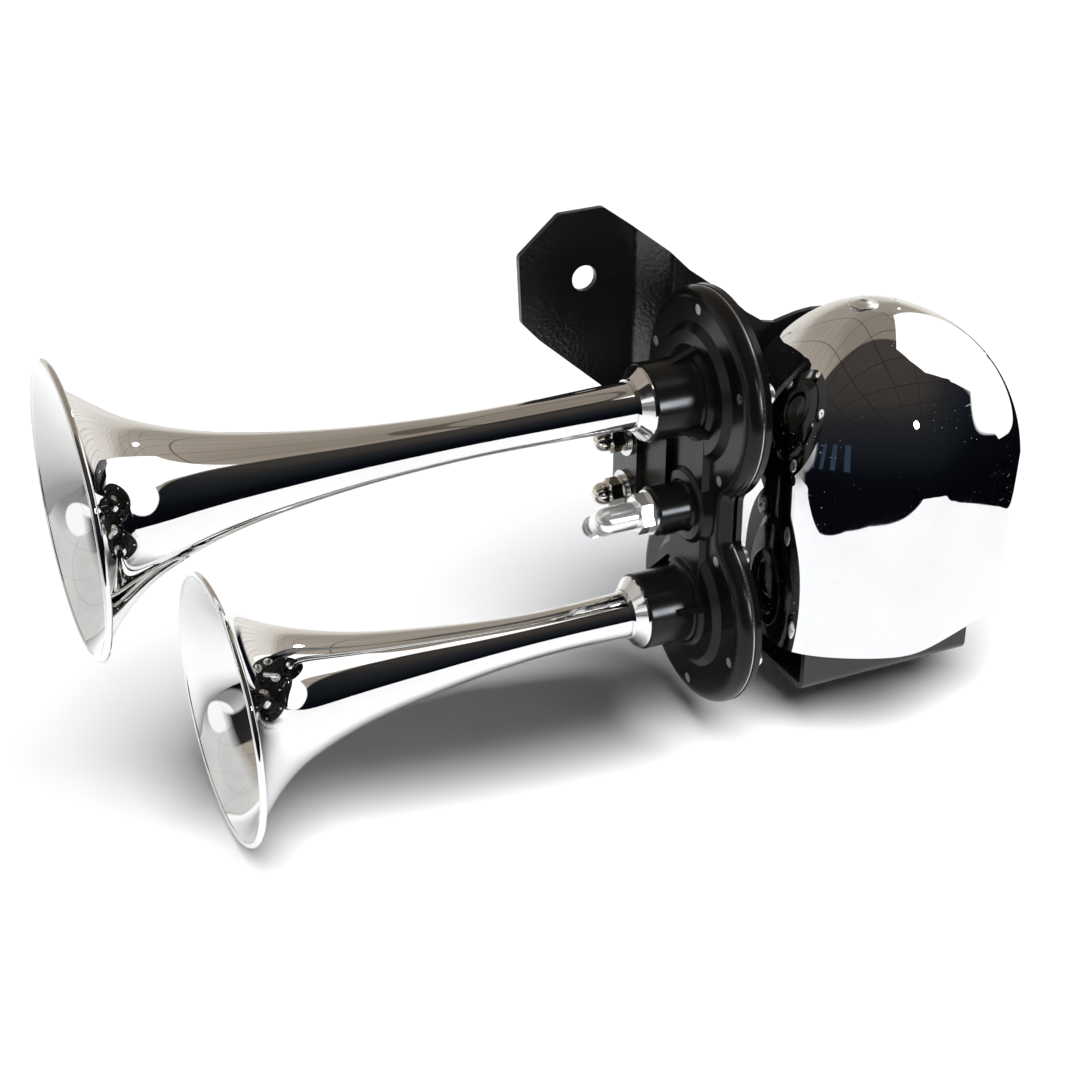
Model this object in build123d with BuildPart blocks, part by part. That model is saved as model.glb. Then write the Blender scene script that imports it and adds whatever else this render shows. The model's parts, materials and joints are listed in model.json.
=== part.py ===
from build123d import *
import os
from math import cos, sin, pi, radians, sqrt, atan2, degrees

os.makedirs("parts", exist_ok=True)

# ---------------------------------------------------------------- driving dimensions (mm)
# The origin is the centre of the hole in the bracket's ear, half way through the sheet.
# +X runs from the bells to the compressor cover, +Y runs into the vehicle panel, +Z is up.
X0 = -6.3            # X of the trumpets' throat line; lengths called "a" are measured from it
TRUMPET_Y = -53.75   # both trumpets' axis
UPPER_Z = -31.0
LOWER_Z = -120.5
MID_Z = (UPPER_Z + LOWER_Z) / 2

WALL = 0.9           # trumpet sheet
BEAD_R = 1.25        # rolled rim
TUBE_R = 9.0
LONG_RIM_A = -208.8
SHORT_RIM_A = -164.7
RIM_R = 51.3

BOSS_R = 15.1        # trumpet sockets on the sound unit
BOSS_A = 4.5
NUT_THREAD_R = 11.0
SHOULDER_A = 18.7
HUB_A = 23.6
SPINE_A = 25.4
DISC_A = 28.0        # flat annulus of each disc
DISC_R = 41.0
DISC_AT = ((0.8, 1.4), (-1.2, 90.8))   # centre of each disc (b, h)
BACK_A = 33.2        # back face of the casting
GASKET_T = 0.6
DIAPHRAGM_T = 0.4
WAIST_HALF = 23.0
SCREW_CIRCLE_R = 34.0
SCREW_PHASE = (17.0, -20.0)
M4_R = 2.0
M5_R = 2.5
M6_R = 3.0

INLET_B, INLET_H = 0.0, 46.5
INLET_A = 9.5         # front face of the inlet boss
STUD_B, STUD_H = 40.0, (33.2, 56.8)
BARB_DOWN = 35.0     # degrees below +Y

SHEET = 2.5          # bracket
EAR_HOLE_R = 5.15
PLATE_B = 45.0       # front face of the main plate

COVER_T = 1.2
MOTOR_A, MOTOR_B = 107.0, 11.0
MOTOR_R = 30.0
SHAFT_R = 3.0
RUN = 0.03           # radial running clearance


def x_of(a):
    return X0 + a


def y_of(b):
    return TRUMPET_Y + b


def z_of(h):
    return UPPER_Z - h


def front(b):
    """Seen from -Y: local x is a, local y is -h; extrude + comes towards -Y."""
    return Plane(origin=(X0, y_of(b), UPPER_Z), x_dir=(1, 0, 0), z_dir=(0, -1, 0))


def plan(h):
    """Seen from above: local x is a, local y is b; extrude + goes up."""
    return Plane(origin=(X0, TRUMPET_Y, z_of(h)), x_dir=(1, 0, 0), z_dir=(0, 0, 1))


def across(a, b=0.0, h=0.0):
    """Across the trumpets' axis: local x is b, local y is up; extrude + goes to +X."""
    return Plane(origin=(x_of(a), y_of(b), z_of(h)), x_dir=(0, 1, 0), z_dir=(1, 0, 0))


def lathe(b=0.0, h=0.0):
    """Half profile about an axis parallel to X: local x is a, local y is the radius."""
    return Plane(origin=(X0, y_of(b), z_of(h)), x_dir=(1, 0, 0), z_dir=(0, -1, 0))


def lathe_axis(b=0.0, h=0.0):
    return Axis((X0, y_of(b), z_of(h)), (1, 0, 0))


def upright(a, b):
    """Half profile about a vertical axis: local x is the radius, local y is -h."""
    return Plane(origin=(x_of(a), y_of(b), UPPER_Z), x_dir=(1, 0, 0), z_dir=(0, -1, 0))


def upright_axis(a, b):
    return Axis((x_of(a), y_of(b), UPPER_Z), (0, 0, 1))


def inside_of(points, t):
    """The profile shifted by the sheet's thickness towards the axis and the mouth."""
    out = []
    for i, (a, r) in enumerate(points):
        a0, r0 = points[max(i - 1, 0)]
        a1, r1 = points[min(i + 1, len(points) - 1)]
        da, dr = a1 - a0, r1 - r0
        n = sqrt(da * da + dr * dr)
        # travelling to the mouth (da < 0), the inner side is (dr, da) turned to the axis
        out.append((a - abs(dr) / n * t, r - abs(da) / n * t))
    return out


# outer profiles from the throat to the rim (a, radius)
LONG_HORN = [(0, 9.0), (-21, 8.7), (-43, 8.4), (-65, 8.5), (-85, 9.3), (-106, 10.7),
             (-126, 12.9), (-146, 15.9), (-165, 20.4), (-177, 24.6), (-185, 28.4),
             (-192, 33.2), (-200, 40.4), (-205, 46.2), (-207.3, 49.4)]
SHORT_HORN = [(0, 9.0), (-14, 8.7), (-30, 8.6), (-46, 9.2), (-62, 10.5), (-82, 12.9),
              (-102, 15.9), (-121, 20.4), (-133, 24.6), (-141, 28.4),
              (-148, 33.2), (-156, 40.4), (-161, 46.2), (-163.2, 49.4)]

# ---------------------------------------------------------------- trumpets
with BuildPart() as long_trumpet:
    with BuildSketch(lathe(0, 0)):
        with BuildLine():
            inner = inside_of(LONG_HORN, WALL)
            outer_curve = Spline(*LONG_HORN, tangents=((-1, 0), (-0.55, 0.83)))
            inner_curve = Spline(*inner, tangents=((-1, 0), (-0.55, 0.83)))
            Line(LONG_HORN[-1], inner[-1])
            Polyline(LONG_HORN[0], (16.0, TUBE_R), (16.0, 10.8), (17.5, 10.8),
                     (17.5, TUBE_R - WALL), inner[0])
        make_face()
        with Locations((LONG_RIM_A + BEAD_R, RIM_R - BEAD_R)):
            Circle(BEAD_R)
    revolve(axis=lathe_axis(0, 0))
long_trumpet.part.label = "long_trumpet"
export_step(long_trumpet.part, "parts/long_trumpet.step")

with BuildPart() as short_trumpet:
    with BuildSketch(lathe(0, 89.5)):
        with BuildLine():
            inner_s = inside_of(SHORT_HORN, WALL)
            Spline(*SHORT_HORN, tangents=((-1, 0), (-0.55, 0.83)))
            Spline(*inner_s, tangents=((-1, 0), (-0.55, 0.83)))
            Line(SHORT_HORN[-1], inner_s[-1])
            Polyline(SHORT_HORN[0], (16.0, TUBE_R), (16.0, 10.8), (17.5, 10.8),
                     (17.5, TUBE_R - WALL), inner_s[0])
        make_face()
        with Locations((SHORT_RIM_A + BEAD_R, RIM_R - BEAD_R)):
            Circle(BEAD_R)
    revolve(axis=lathe_axis(0, 89.5))
short_trumpet.part.label = "short_trumpet"
export_step(short_trumpet.part, "parts/short_trumpet.step")

# collar nuts: a cone over the trumpet's end and a threaded sleeve into the boss
NUT_PROFILE = [(-1.0, 9.05), (-1.0, 9.7), (0.0, 10.2), (3.4, 14.2), (3.9, 14.3), (BOSS_A, 14.3),
               (BOSS_A, NUT_THREAD_R), (16.0, NUT_THREAD_R), (16.0, 9.05)]
with BuildPart() as trumpet_nuts:
    with BuildSketch(lathe(0, 0)):
        with BuildLine():
            Polyline(*NUT_PROFILE, close=True)
        make_face()
    revolve(axis=lathe_axis(0, 0))
    with BuildSketch(lathe(0, 89.5)):
        with BuildLine():
            Polyline(*NUT_PROFILE, close=True)
        make_face()
    revolve(axis=lathe_axis(0, 89.5))
trumpet_nuts.part.label = "trumpet_nuts"
export_step(trumpet_nuts.part, "parts/trumpet_nuts.step")

# fibre rings between the trumpets' end flanges and the casting
with BuildPart() as trumpet_gaskets:
    with BuildSketch(across(17.5, 0, 0)):
        Circle(10.8)
        Circle(TUBE_R - WALL, mode=Mode.SUBTRACT)
    extrude(amount=SHOULDER_A - 17.5)
    with BuildSketch(across(17.5, 0, 89.5)):
        Circle(10.8)
        Circle(TUBE_R - WALL, mode=Mode.SUBTRACT)
    extrude(amount=SHOULDER_A - 17.5)
trumpet_gaskets.part.label = "trumpet_gaskets"
export_step(trumpet_gaskets.part, "parts/trumpet_gaskets.step")

# ---------------------------------------------------------------- sound unit
STACK_A1 = BACK_A + GASKET_T                 # diaphragm, front face
STACK_A2 = STACK_A1 + DIAPHRAGM_T
STACK_A3 = STACK_A2 + GASKET_T               # rear cover, front face
PAD_A = 38.5                                 # seats of the screw heads

HUB_PROFILE = [(BOSS_A, 0), (BOSS_A, BOSS_R - 0.5), (BOSS_A + 0.5, BOSS_R), (22.4, BOSS_R),
               (23.2, BOSS_R + 0.5), (HUB_A, 16.8), (HUB_A + 0.6, 17.4), (25.3, 18.2),
               (25.5, 19.0), (25.7, 24.0), (DISC_A, 27.2), (DISC_A + 3, 27.2), (DISC_A + 3, 0)]
GUSSETS = ((0.0, (-38, 83, 203)), (89.5, (17, 137, 257)))

with BuildPart() as sound_unit_body:
    # figure-of-eight plate with a straight waist
    with BuildSketch(across(DISC_A, 0, 0)):
        with Locations(*[(b, -h) for b, h in DISC_AT]):
            Circle(DISC_R)
        with Locations((0, -46)):
            Rectangle(2 * WAIST_HALF, 62)
        fillet([v for v in vertices() if abs(abs(v.X) - WAIST_HALF) < 1.0
                and 32 < -v.Y < 60], 6.0)
    extrude(amount=BACK_A - DISC_A)
    front_rim = [e for e in edges() if abs(e.center().X - x_of(DISC_A)) < 1e-3]
    fillet(front_rim, 4.9)
    # trumpet bosses and hubs
    for h in (0.0, 89.5):
        with BuildSketch(lathe(0, h)):
            with BuildLine():
                Polyline(*HUB_PROFILE, close=True)
            make_face()
        revolve(axis=lathe_axis(0, h))
    # spine that carries the air duct between the hubs
    with BuildSketch(across(DISC_A + 1.0, 0, 89.5 / 2)):
        Rectangle(26, 62)
    extrude(amount=-(DISC_A + 1.0 - SPINE_A), taper=22)
    # inlet pad and boss
    with BuildSketch(lathe(INLET_B, INLET_H)):
        with BuildLine():
            Polyline((INLET_A, 0), (INLET_A, 8.9), (INLET_A + 0.8, 9.75), (22.6, 9.75), (23.6, 10.6),
                     (24.0, 13.6), (25.0, 15.2), (DISC_A + 1, 17.2), (DISC_A + 1, 0), close=True)
        make_face()
    revolve(axis=lathe_axis(INLET_B, INLET_H))
    # three gussets on each trumpet boss
    for h, turns in GUSSETS:
        for turn in turns:
            u = radians(turn)
            rib = Plane(origin=(X0, TRUMPET_Y, z_of(h)), x_dir=(1, 0, 0),
                        z_dir=(0, -sin(u), -cos(u)))
            with BuildSketch(rib):
                with BuildLine():
                    Polyline((13.6, 13.0), (14.6, 15.0), (23.8, 19.0), (26.6, 20.2),
                             (26.6, 13.0), close=True)
                make_face()
            extrude(amount=1.3, both=True)
    # lug for the two mounting studs
    with BuildSketch(across(22.5, 0, 0)):
        with BuildLine():
            Polyline((12, -24), (34, -24.5), (43.0, -28), (43.0, -61.5), (34, -65), (12, -65.5),
                     close=True)
        make_face()
        fillet([v for v in vertices() if v.X > 33], 3.5)
    extrude(amount=8.5)
    # sockets, throats and nozzles
    for h in (0.0, 89.5):
        with BuildSketch(lathe(0, h)):
            with BuildLine():
                Polyline((STACK_A1 - 9, 5.0), (STACK_A1 + 1, 5.0), (STACK_A1 + 1, 0),
                         (BOSS_A - 1, 0), (BOSS_A - 1, NUT_THREAD_R + 0.05),
                         (SHOULDER_A, NUT_THREAD_R + 0.05), (SHOULDER_A, 8.1), close=True)
            make_face()
        revolve(axis=lathe_axis(0, h), mode=Mode.SUBTRACT)
        with BuildSketch(across(29.5, 0, h)):
            Circle(27.5)
            Circle(8.0, mode=Mode.SUBTRACT)
        extrude(amount=BACK_A - 29.5 + 1, mode=Mode.SUBTRACT)
        with BuildSketch(across(29.5, 0, h)):
            Circle(8.0)
            Circle(5.0, mode=Mode.SUBTRACT)
        extrude(amount=STACK_A1 - 29.5)
    # inlet bore and the duct to both chambers
    with BuildSketch(across(INLET_A - 1, INLET_B, INLET_H)):
        Circle(5.2)
    extrude(amount=11.0, mode=Mode.SUBTRACT)
    with BuildSketch(across(INLET_A - 1, INLET_B, INLET_H)):
        Circle(3.6)
    extrude(amount=29.6 - INLET_A + 1, mode=Mode.SUBTRACT)
    with BuildSketch(plan(26.0)):
        with Locations((29.8, 0)):
            Circle(2.2)
    extrude(amount=-(89.5 - 52.0), mode=Mode.SUBTRACT)
    # tapped holes for the cover screws and the studs
    for (b, h), phase in zip(DISC_AT, SCREW_PHASE):
        with BuildSketch(across(DISC_A - 1, b, h)):
            with PolarLocations(SCREW_CIRCLE_R, 5, start_angle=phase):
                Circle(M4_R + 0.05)
        extrude(amount=8, mode=Mode.SUBTRACT)
    for h in STUD_H:
        with BuildSketch(across(21.0, STUD_B, h)):
            Circle(M6_R + 0.05)
        extrude(amount=9.0, mode=Mode.SUBTRACT)
sound_unit_body.part.label = "sound_unit_body"
export_step(sound_unit_body.part, "parts/sound_unit_body.step")

# rings that clamp the diaphragms, front and rear
with BuildPart() as diaphragm_gaskets:
    for (b, h), phase in zip(DISC_AT, SCREW_PHASE):
        for a in (BACK_A, STACK_A2):
            with BuildSketch(across(a, b, h)):
                Circle(DISC_R - 0.3)
                Circle(27.5, mode=Mode.SUBTRACT)
                with PolarLocations(SCREW_CIRCLE_R, 5, start_angle=phase):
                    Circle(M4_R + 0.2, mode=Mode.SUBTRACT)
            extrude(amount=GASKET_T)
diaphragm_gaskets.part.label = "diaphragm_gaskets"
export_step(diaphragm_gaskets.part, "parts/diaphragm_gaskets.step")

with BuildPart() as upper_diaphragm:
    with BuildSketch(across(STACK_A1, *DISC_AT[0])):
        Circle(DISC_R - 0.3)
        with PolarLocations(SCREW_CIRCLE_R, 5, start_angle=SCREW_PHASE[0]):
            Circle(M4_R + 0.2, mode=Mode.SUBTRACT)
    extrude(amount=DIAPHRAGM_T)
upper_diaphragm.part.label = "upper_diaphragm"
export_step(upper_diaphragm.part, "parts/upper_diaphragm.step")

with BuildPart() as lower_diaphragm:
    with BuildSketch(across(STACK_A1, *DISC_AT[1])):
        Circle(DISC_R - 0.3)
        with PolarLocations(SCREW_CIRCLE_R, 5, start_angle=SCREW_PHASE[1]):
            Circle(M4_R + 0.2, mode=Mode.SUBTRACT)
    extrude(amount=DIAPHRAGM_T)
lower_diaphragm.part.label = "lower_diaphragm"
export_step(lower_diaphragm.part, "parts/lower_diaphragm.step")

# pressed rear cover over both diaphragms
with BuildPart() as rear_cover:
    with BuildSketch(across(STACK_A3, 0, 0)):
        with Locations(*[(b, -h) for b, h in DISC_AT]):
            Circle(DISC_R)
        with Locations((0, -46)):
            Rectangle(2 * WAIST_HALF, 62)
        fillet([v for v in vertices() if abs(abs(v.X) - WAIST_HALF) < 1.0
                and 32 < -v.Y < 60], 6.0)
    extrude(amount=2.4)
    for (b, h), phase in zip(DISC_AT, SCREW_PHASE):
        with BuildSketch(lathe(b, h)):
            with BuildLine():
                Polyline((STACK_A3, 0), (STACK_A3, 30.5), (38.0, 29.5), (40.6, 26.0),
                         (41.6, 20.0), (42.0, 16.5), (45.0, 16.0), (45.4, 15.4), (45.4, 11.2),
                         (44.9, 10.6), (43.4, 10.4), (43.4, 0), close=True)
            make_face()
        revolve(axis=lathe_axis(b, h))
        with BuildSketch(across(STACK_A3, b, h)):
            with PolarLocations(SCREW_CIRCLE_R, 5, start_angle=phase):
                Circle(5.0)
        extrude(amount=PAD_A - STACK_A3)
        with BuildSketch(lathe(b, h)):
            with BuildLine():
                Polyline((STACK_A3 - 1, 0), (STACK_A3 - 1, 27.5), (37.0, 27.5), (38.8, 25.0),
                         (39.8, 19.0), (39.8, 0), close=True)
            make_face()
        revolve(axis=lathe_axis(b, h), mode=Mode.SUBTRACT)
        with BuildSketch(across(STACK_A3 - 1, b, h)):
            with PolarLocations(SCREW_CIRCLE_R, 5, start_angle=phase):
                Circle(M4_R + 0.2)
        extrude(amount=8, mode=Mode.SUBTRACT)
rear_cover.part.label = "rear_cover"
export_step(rear_cover.part, "parts/rear_cover.step")

# ten M4 pan-head screws whose tips end flush in the front annulus
with BuildPart() as unit_screws:
    for (b, h), phase in zip(DISC_AT, SCREW_PHASE):
        with BuildSketch(across(DISC_A + 0.1, b, h)):
            with PolarLocations(SCREW_CIRCLE_R, 5, start_angle=phase):
                Circle(M4_R)
        extrude(amount=PAD_A - DISC_A - 0.1)
        with BuildSketch(across(PAD_A, b, h)):
            with PolarLocations(SCREW_CIRCLE_R, 5, start_angle=phase):
                Circle(3.8)
        extrude(amount=2.6)
    fillet([e for e in edges().filter_by(GeomType.CIRCLE)
            if abs(e.center().X - x_of(PAD_A + 2.6)) < 1e-3], 0.9)
    for (b, h), phase in zip(DISC_AT, SCREW_PHASE):
        with BuildSketch(across(PAD_A + 1.0, b, h)):
            with PolarLocations(SCREW_CIRCLE_R, 5, start_angle=phase):
                Rectangle(4.4, 0.9)
                Rectangle(0.9, 4.4)
        extrude(amount=3, mode=Mode.SUBTRACT)
unit_screws.part.label = "unit_screws"
export_step(unit_screws.part, "parts/unit_screws.step")

# ---------------------------------------------------------------- air inlet
u = radians(BARB_DOWN)
KNUCKLE_A = -8.6
HEX_A = 3.0
HEX_BACK_A = INLET_A - 1.0
knuckle = Vector(x_of(KNUCKLE_A), y_of(INLET_B), z_of(INLET_H))
barb_dir = Vector(0, cos(u), -sin(u))
barb_plane = Plane(origin=knuckle, x_dir=(1, 0, 0), z_dir=barb_dir)
barb_half = Plane(origin=knuckle, x_dir=barb_dir, z_dir=(1, 0, 0))
with BuildPart() as hex_blank:
    with BuildSketch(across(HEX_A, INLET_B, INLET_H)):
        RegularPolygon(7.0, 6, major_radius=False, rotation=12)
    extrude(amount=HEX_BACK_A - HEX_A)
    with BuildSketch(lathe(INLET_B, INLET_H)):
        with BuildLine():
            Polyline((HEX_A, 0), (HEX_A, 6.9), (HEX_A + 0.9, 8.2), (HEX_BACK_A - 0.5, 8.2),
                     (HEX_BACK_A, 7.3), (HEX_BACK_A, 0), close=True)
        make_face()
    revolve(axis=lathe_axis(INLET_B, INLET_H), mode=Mode.INTERSECT)

with BuildPart() as inlet_elbow:
    # turned body: thread, neck and the half ball at the bend
    with BuildSketch(lathe(INLET_B, INLET_H)):
        with BuildLine():
            Polyline((KNUCKLE_A, 5.3), (HEX_A + 1, 5.3), (HEX_A + 1, 5.15), (18.4, 5.15),
                     (19.0, 4.6), (19.0, 0), (KNUCKLE_A - 5.3, 0))
            ThreePointArc((KNUCKLE_A - 5.3, 0), (KNUCKLE_A - 5.3 * cos(pi / 4), 5.3 * sin(pi / 4)),
                          (KNUCKLE_A, 5.3))
        make_face()
    revolve(axis=lathe_axis(INLET_B, INLET_H))
    add(hex_blank.part)
    # barbed tail
    with BuildSketch(barb_half):
        with BuildLine():
            Polyline((0, 0), (0, 5.25), (5.4, 5.25), (6.0, 3.6), (7.4, 3.6), (7.4, 4.4), (10.8, 3.6),
                     (11.2, 3.6), (11.2, 4.4), (14.6, 3.6), (15.0, 3.6), (15.0, 4.3),
                     (18.8, 3.3), (18.8, 0), close=True)
        make_face()
    revolve(axis=Axis(knuckle, barb_dir))
    # bores
    with BuildSketch(across(KNUCKLE_A, INLET_B, INLET_H)):
        Circle(2.4)
    extrude(amount=40, mode=Mode.SUBTRACT)
    with BuildSketch(barb_plane):
        Circle(2.4)
    extrude(amount=30, mode=Mode.SUBTRACT)
inlet_elbow.part.label = "inlet_elbow"
export_step(inlet_elbow.part, "parts/inlet_elbow.step")

with BuildPart() as inlet_washer:
    with BuildSketch(across(INLET_A - 1.0, INLET_B, INLET_H)):
        Circle(8.8)
        Circle(5.3, mode=Mode.SUBTRACT)
    extrude(amount=1.0)
inlet_washer.part.label = "inlet_washer"
export_step(inlet_washer.part, "parts/inlet_washer.step")

# ---------------------------------------------------------------- studs, nuts and washers
TAB_A = 20.0
with BuildPart() as unit_studs:
    for h in STUD_H:
        with BuildSketch(across(7.5, STUD_B, h)):
            Circle(M6_R)
        extrude(amount=21.0)
    chamfer(edges().filter_by(GeomType.CIRCLE), 0.5)
unit_studs.part.label = "unit_studs"
export_step(unit_studs.part, "parts/unit_studs.step")

with BuildPart() as flat_washers:
    for h in STUD_H:
        with BuildSketch(across(TAB_A - 1.6, STUD_B, h)):
            Circle(8.0)
            Circle(3.2, mode=Mode.SUBTRACT)
        extrude(amount=1.6)
flat_washers.part.label = "flat_washers"
export_step(flat_washers.part, "parts/flat_washers.step")

with BuildPart() as spring_washers:
    for h in STUD_H:
        with BuildSketch(across(TAB_A - 3.2, STUD_B, h)):
            Circle(6.1)
            Circle(3.2, mode=Mode.SUBTRACT)
            with Locations((4.6, 0)):
                Rectangle(4.0, 0.9, rotation=20, mode=Mode.SUBTRACT)
        extrude(amount=1.6)
spring_washers.part.label = "spring_washers"
export_step(spring_washers.part, "parts/spring_washers.step")

NUT_A = TAB_A - 3.2
cap_blanks = []
for h in STUD_H:
    with BuildPart() as cap_blank:
        with BuildSketch(across(NUT_A, STUD_B, h)):
            RegularPolygon(5.0, 6, major_radius=False, rotation=8)
        extrude(amount=-12.0)
        with BuildSketch(lathe(STUD_B, h)):
            with BuildLine():
                Polyline((NUT_A - 7.4, 4.6), (NUT_A - 6.2, 4.6), (NUT_A - 5.6, 5.0),
                         (NUT_A - 5.0, 5.9), (NUT_A - 0.6, 5.9), (NUT_A, 5.1),
                         (NUT_A, 0), (NUT_A - 12, 0))
                ThreePointArc((NUT_A - 12, 0), (NUT_A - 10.65, 3.25), (NUT_A - 7.4, 4.6))
            make_face()
        revolve(axis=lathe_axis(STUD_B, h), mode=Mode.INTERSECT)
        with BuildSketch(across(NUT_A, STUD_B, h)):
            Circle(M6_R + 0.02)
        extrude(amount=-10.0, mode=Mode.SUBTRACT)
    cap_blanks.append(cap_blank.part)
with BuildPart() as cap_nuts:
    for blank in cap_blanks:
        add(blank)
cap_nuts.part.label = "cap_nuts"
export_step(cap_nuts.part, "parts/cap_nuts.step")

# ---------------------------------------------------------------- bracket
# One folded sheet: the ear, a joggle band and the main plate, with a forward arm that ends in
# the tab for the sound unit, and a tray under the compressor.
EAR_B = 52.5                 # front face of the ear
FOLD1_A, FOLD2_A = 27.9, 41.0
TRAY_H = 119.5
EAR_OUTLINE = [(-21.3, 43.5), (-4.6, 58.0), (14.3, 58.4), (26.5, 49.5), (39.7, 39.2),
               (48.5, 30.5), (57.8, 23.6), (67.9, 15.4), (75.4, 8.5), (83.7, 3.0), (89.2, 1.9),
               (94.5, 3.2), (100.5, 4.4), (107.0, 5.0), (113.5, 4.4), (119.5, 1.8),
               (124.0, -4.0), (128.0, -12.0), (152.0, -18.0), (152.0, -60.0), (139.5, -92.0),
               (62.0, -92.0), (50.0, -72.0), (36.0, -65.0), (24.5, -65.0), (24.5, -24.0), (16.0, -16.8),
               (-12.5, 8.2), (-20.1, 16.5)]
STRAP_A = 38.0               # strap bolts, either side of the motor's axis
STRAP_H = 38.0

with BuildPart() as bracket:
    # the sheet's course seen from above, thickened, then trimmed to its outline
    with BuildSketch(plan(95.0)):
        with BuildLine():
            course = FilletPolyline((-23.0, EAR_B), (FOLD1_A, EAR_B), (FOLD2_A, PLATE_B),
                                    (154.0, PLATE_B), radius=4.0)
            back = FilletPolyline((-23.0, EAR_B + SHEET), (FOLD1_A + 0.65, EAR_B + SHEET),
                                  (FOLD2_A + 0.65, PLATE_B + SHEET), (154.0, PLATE_B + SHEET),
                                  radius=4.0)
            Line(course @ 0, back @ 0)
            Line(course @ 1, back @ 1)
        make_face()
    extrude(amount=160)
    with BuildSketch(front(70)):
        with BuildLine():
            Polyline(*EAR_OUTLINE, close=True)
        make_face()
        fillet([v for v in vertices() if v.X < 20 and v.Y > 40], 3.0)
        fillet([v for v in vertices() if v.X < -10 and v.Y < 20], 3.0)
        fillet([v for v in vertices() if v.X > 130], 6.0)
    extrude(amount=60, mode=Mode.INTERSECT)
    # tab turned forward out of the ear's plane, for the sound unit
    with BuildSketch(plan(64.0)):
        with BuildLine():
            tab_out = FilletPolyline((TAB_A, 31.5), (TAB_A, EAR_B + SHEET),
                                     (26.0, EAR_B + SHEET), radius=4.0)
            tab_in = FilletPolyline((TAB_A + SHEET, 31.5), (TAB_A + SHEET, EAR_B),
                                    (26.0, EAR_B), radius=1.5)
            Line(tab_out @ 0, tab_in @ 0)
            Line(tab_out @ 1, tab_in @ 1)
        make_face()
    extrude(amount=38.0)
    # tray and its front lip
    with BuildSketch(across(62.0, 0, 0)):
        with BuildLine():
            tray_out = FilletPolyline((PLATE_B + SHEET, -90.0),
                                      (PLATE_B + SHEET, -(TRAY_H + SHEET)),
                                      (-35.0, -(TRAY_H + SHEET)), (-35.0, -104.5), radius=4.0)
            tray_in = FilletPolyline((PLATE_B, -90.0), (PLATE_B, -TRAY_H),
                                     (-35.0 + SHEET, -TRAY_H), (-35.0 + SHEET, -104.5),
                                     radius=1.5)
            Line(tray_out @ 0, tray_in @ 0)
            Line(tray_out @ 1, tray_in @ 1)
        make_face()
    extrude(amount=77.5)
    # holes: ear, studs, strap bolts and isolator bolts
    with BuildSketch(front(40)):
        with Locations((6.3, 31.0)):
            Circle(EAR_HOLE_R)
    extrude(amount=-40, mode=Mode.SUBTRACT)
    for h in STUD_H:
        with BuildSketch(across(TAB_A - 2, STUD_B, h)):
            Circle(M6_R + 0.3)
        extrude(amount=6, mode=Mode.SUBTRACT)
    with BuildSketch(front(40)):
        with Locations((MOTOR_A - STRAP_A, -STRAP_H), (MOTOR_A + STRAP_A, -STRAP_H)):
            Circle(M5_R + 0.2)
    extrude(amount=-20, mode=Mode.SUBTRACT)
    with BuildSketch(plan(TRAY_H + 6)):
        with Locations((MOTOR_A - 20, MOTOR_B), (MOTOR_A + 20, MOTOR_B)):
            Circle(M5_R + 0.2)
    extrude(amount=10, mode=Mode.SUBTRACT)
bracket.part.label = "bracket"
export_step(bracket.part, "parts/bracket.step")

# ---------------------------------------------------------------- cover
# Five-sided bell that swells into a dome. Each level is a rounded polygon: flat sides low
# down, almost round at the top.
CA, CB = 103.0, -4.45
DOME_TOP, DOME_BASE = -25.1, 34.9
ROUND = 1.965
COVER_BACK_B = 40.0
RIM_H = 103.0
SIDES = ((178, 46.6, 0.035, 1.63), (226, 45.6, 0.13, 1.63), (249, 45.2, 0.085, 1.63),
         (289, 48.4, -0.008, 1.63), (355, 58.0, -0.03, 2.25), (35, 60.0, 0.0, 2.1),
         (90, 60.0, 0.0, 1.8), (145, 55.0, 0.0, 1.63))


def level(h, t, top):
    k = min(max((DOME_BASE - h) / (DOME_BASE - top), 0.0), 1.0)
    p = 14.0 + (3.0 - 14.0) * k ** 0.7
    low = max(h - DOME_BASE, 0.0)
    out = []
    for i in range(72):
        f = radians(5.0 * i)
        total = 0.0
        for turn, d, flare, rise in SIDES:
            s = max(1.0 - k ** rise, 0.0) ** (1.0 / ROUND)
            reach = max((d - t) * s + flare * low, 1e-6)
            total += max(cos(f - radians(turn)) / reach, 0.0) ** p
        r = total ** (-1.0 / p)
        out.append((CA + r * cos(f), CB + r * sin(f)))
    return out


OUTER_LEVELS = (DOME_BASE, 24.0, 14.0, 4.0, -4.0, -10.5, -15.5, -19.0, -21.5, -23.1, -24.0)
INNER_LEVELS = (DOME_BASE, 24.0, 14.0, 5.0, -3.0, -9.5, -14.5, -18.0, -20.4, -22.0, -22.8)
COVER_SCREW_A, COVER_SCREW_B = 99.3, -1.0

with BuildPart() as cover_space:
    for h in (RIM_H + 1, DOME_BASE):
        with BuildSketch(plan(h)):
            with BuildLine():
                Spline(*level(h, COVER_T, DOME_TOP + COVER_T), periodic=True)
            make_face()
    loft(ruled=True)
with BuildPart() as cover_space_dome:
    for h in INNER_LEVELS:
        with BuildSketch(plan(h)):
            with BuildLine():
                Spline(*level(h, COVER_T, DOME_TOP + COVER_T), periodic=True)
            make_face()
    loft()

with BuildPart() as cover_dome:
    for h in OUTER_LEVELS:
        with BuildSketch(plan(h)):
            with BuildLine():
                Spline(*level(h, 0.0, DOME_TOP), periodic=True)
            make_face()
    loft()

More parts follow.
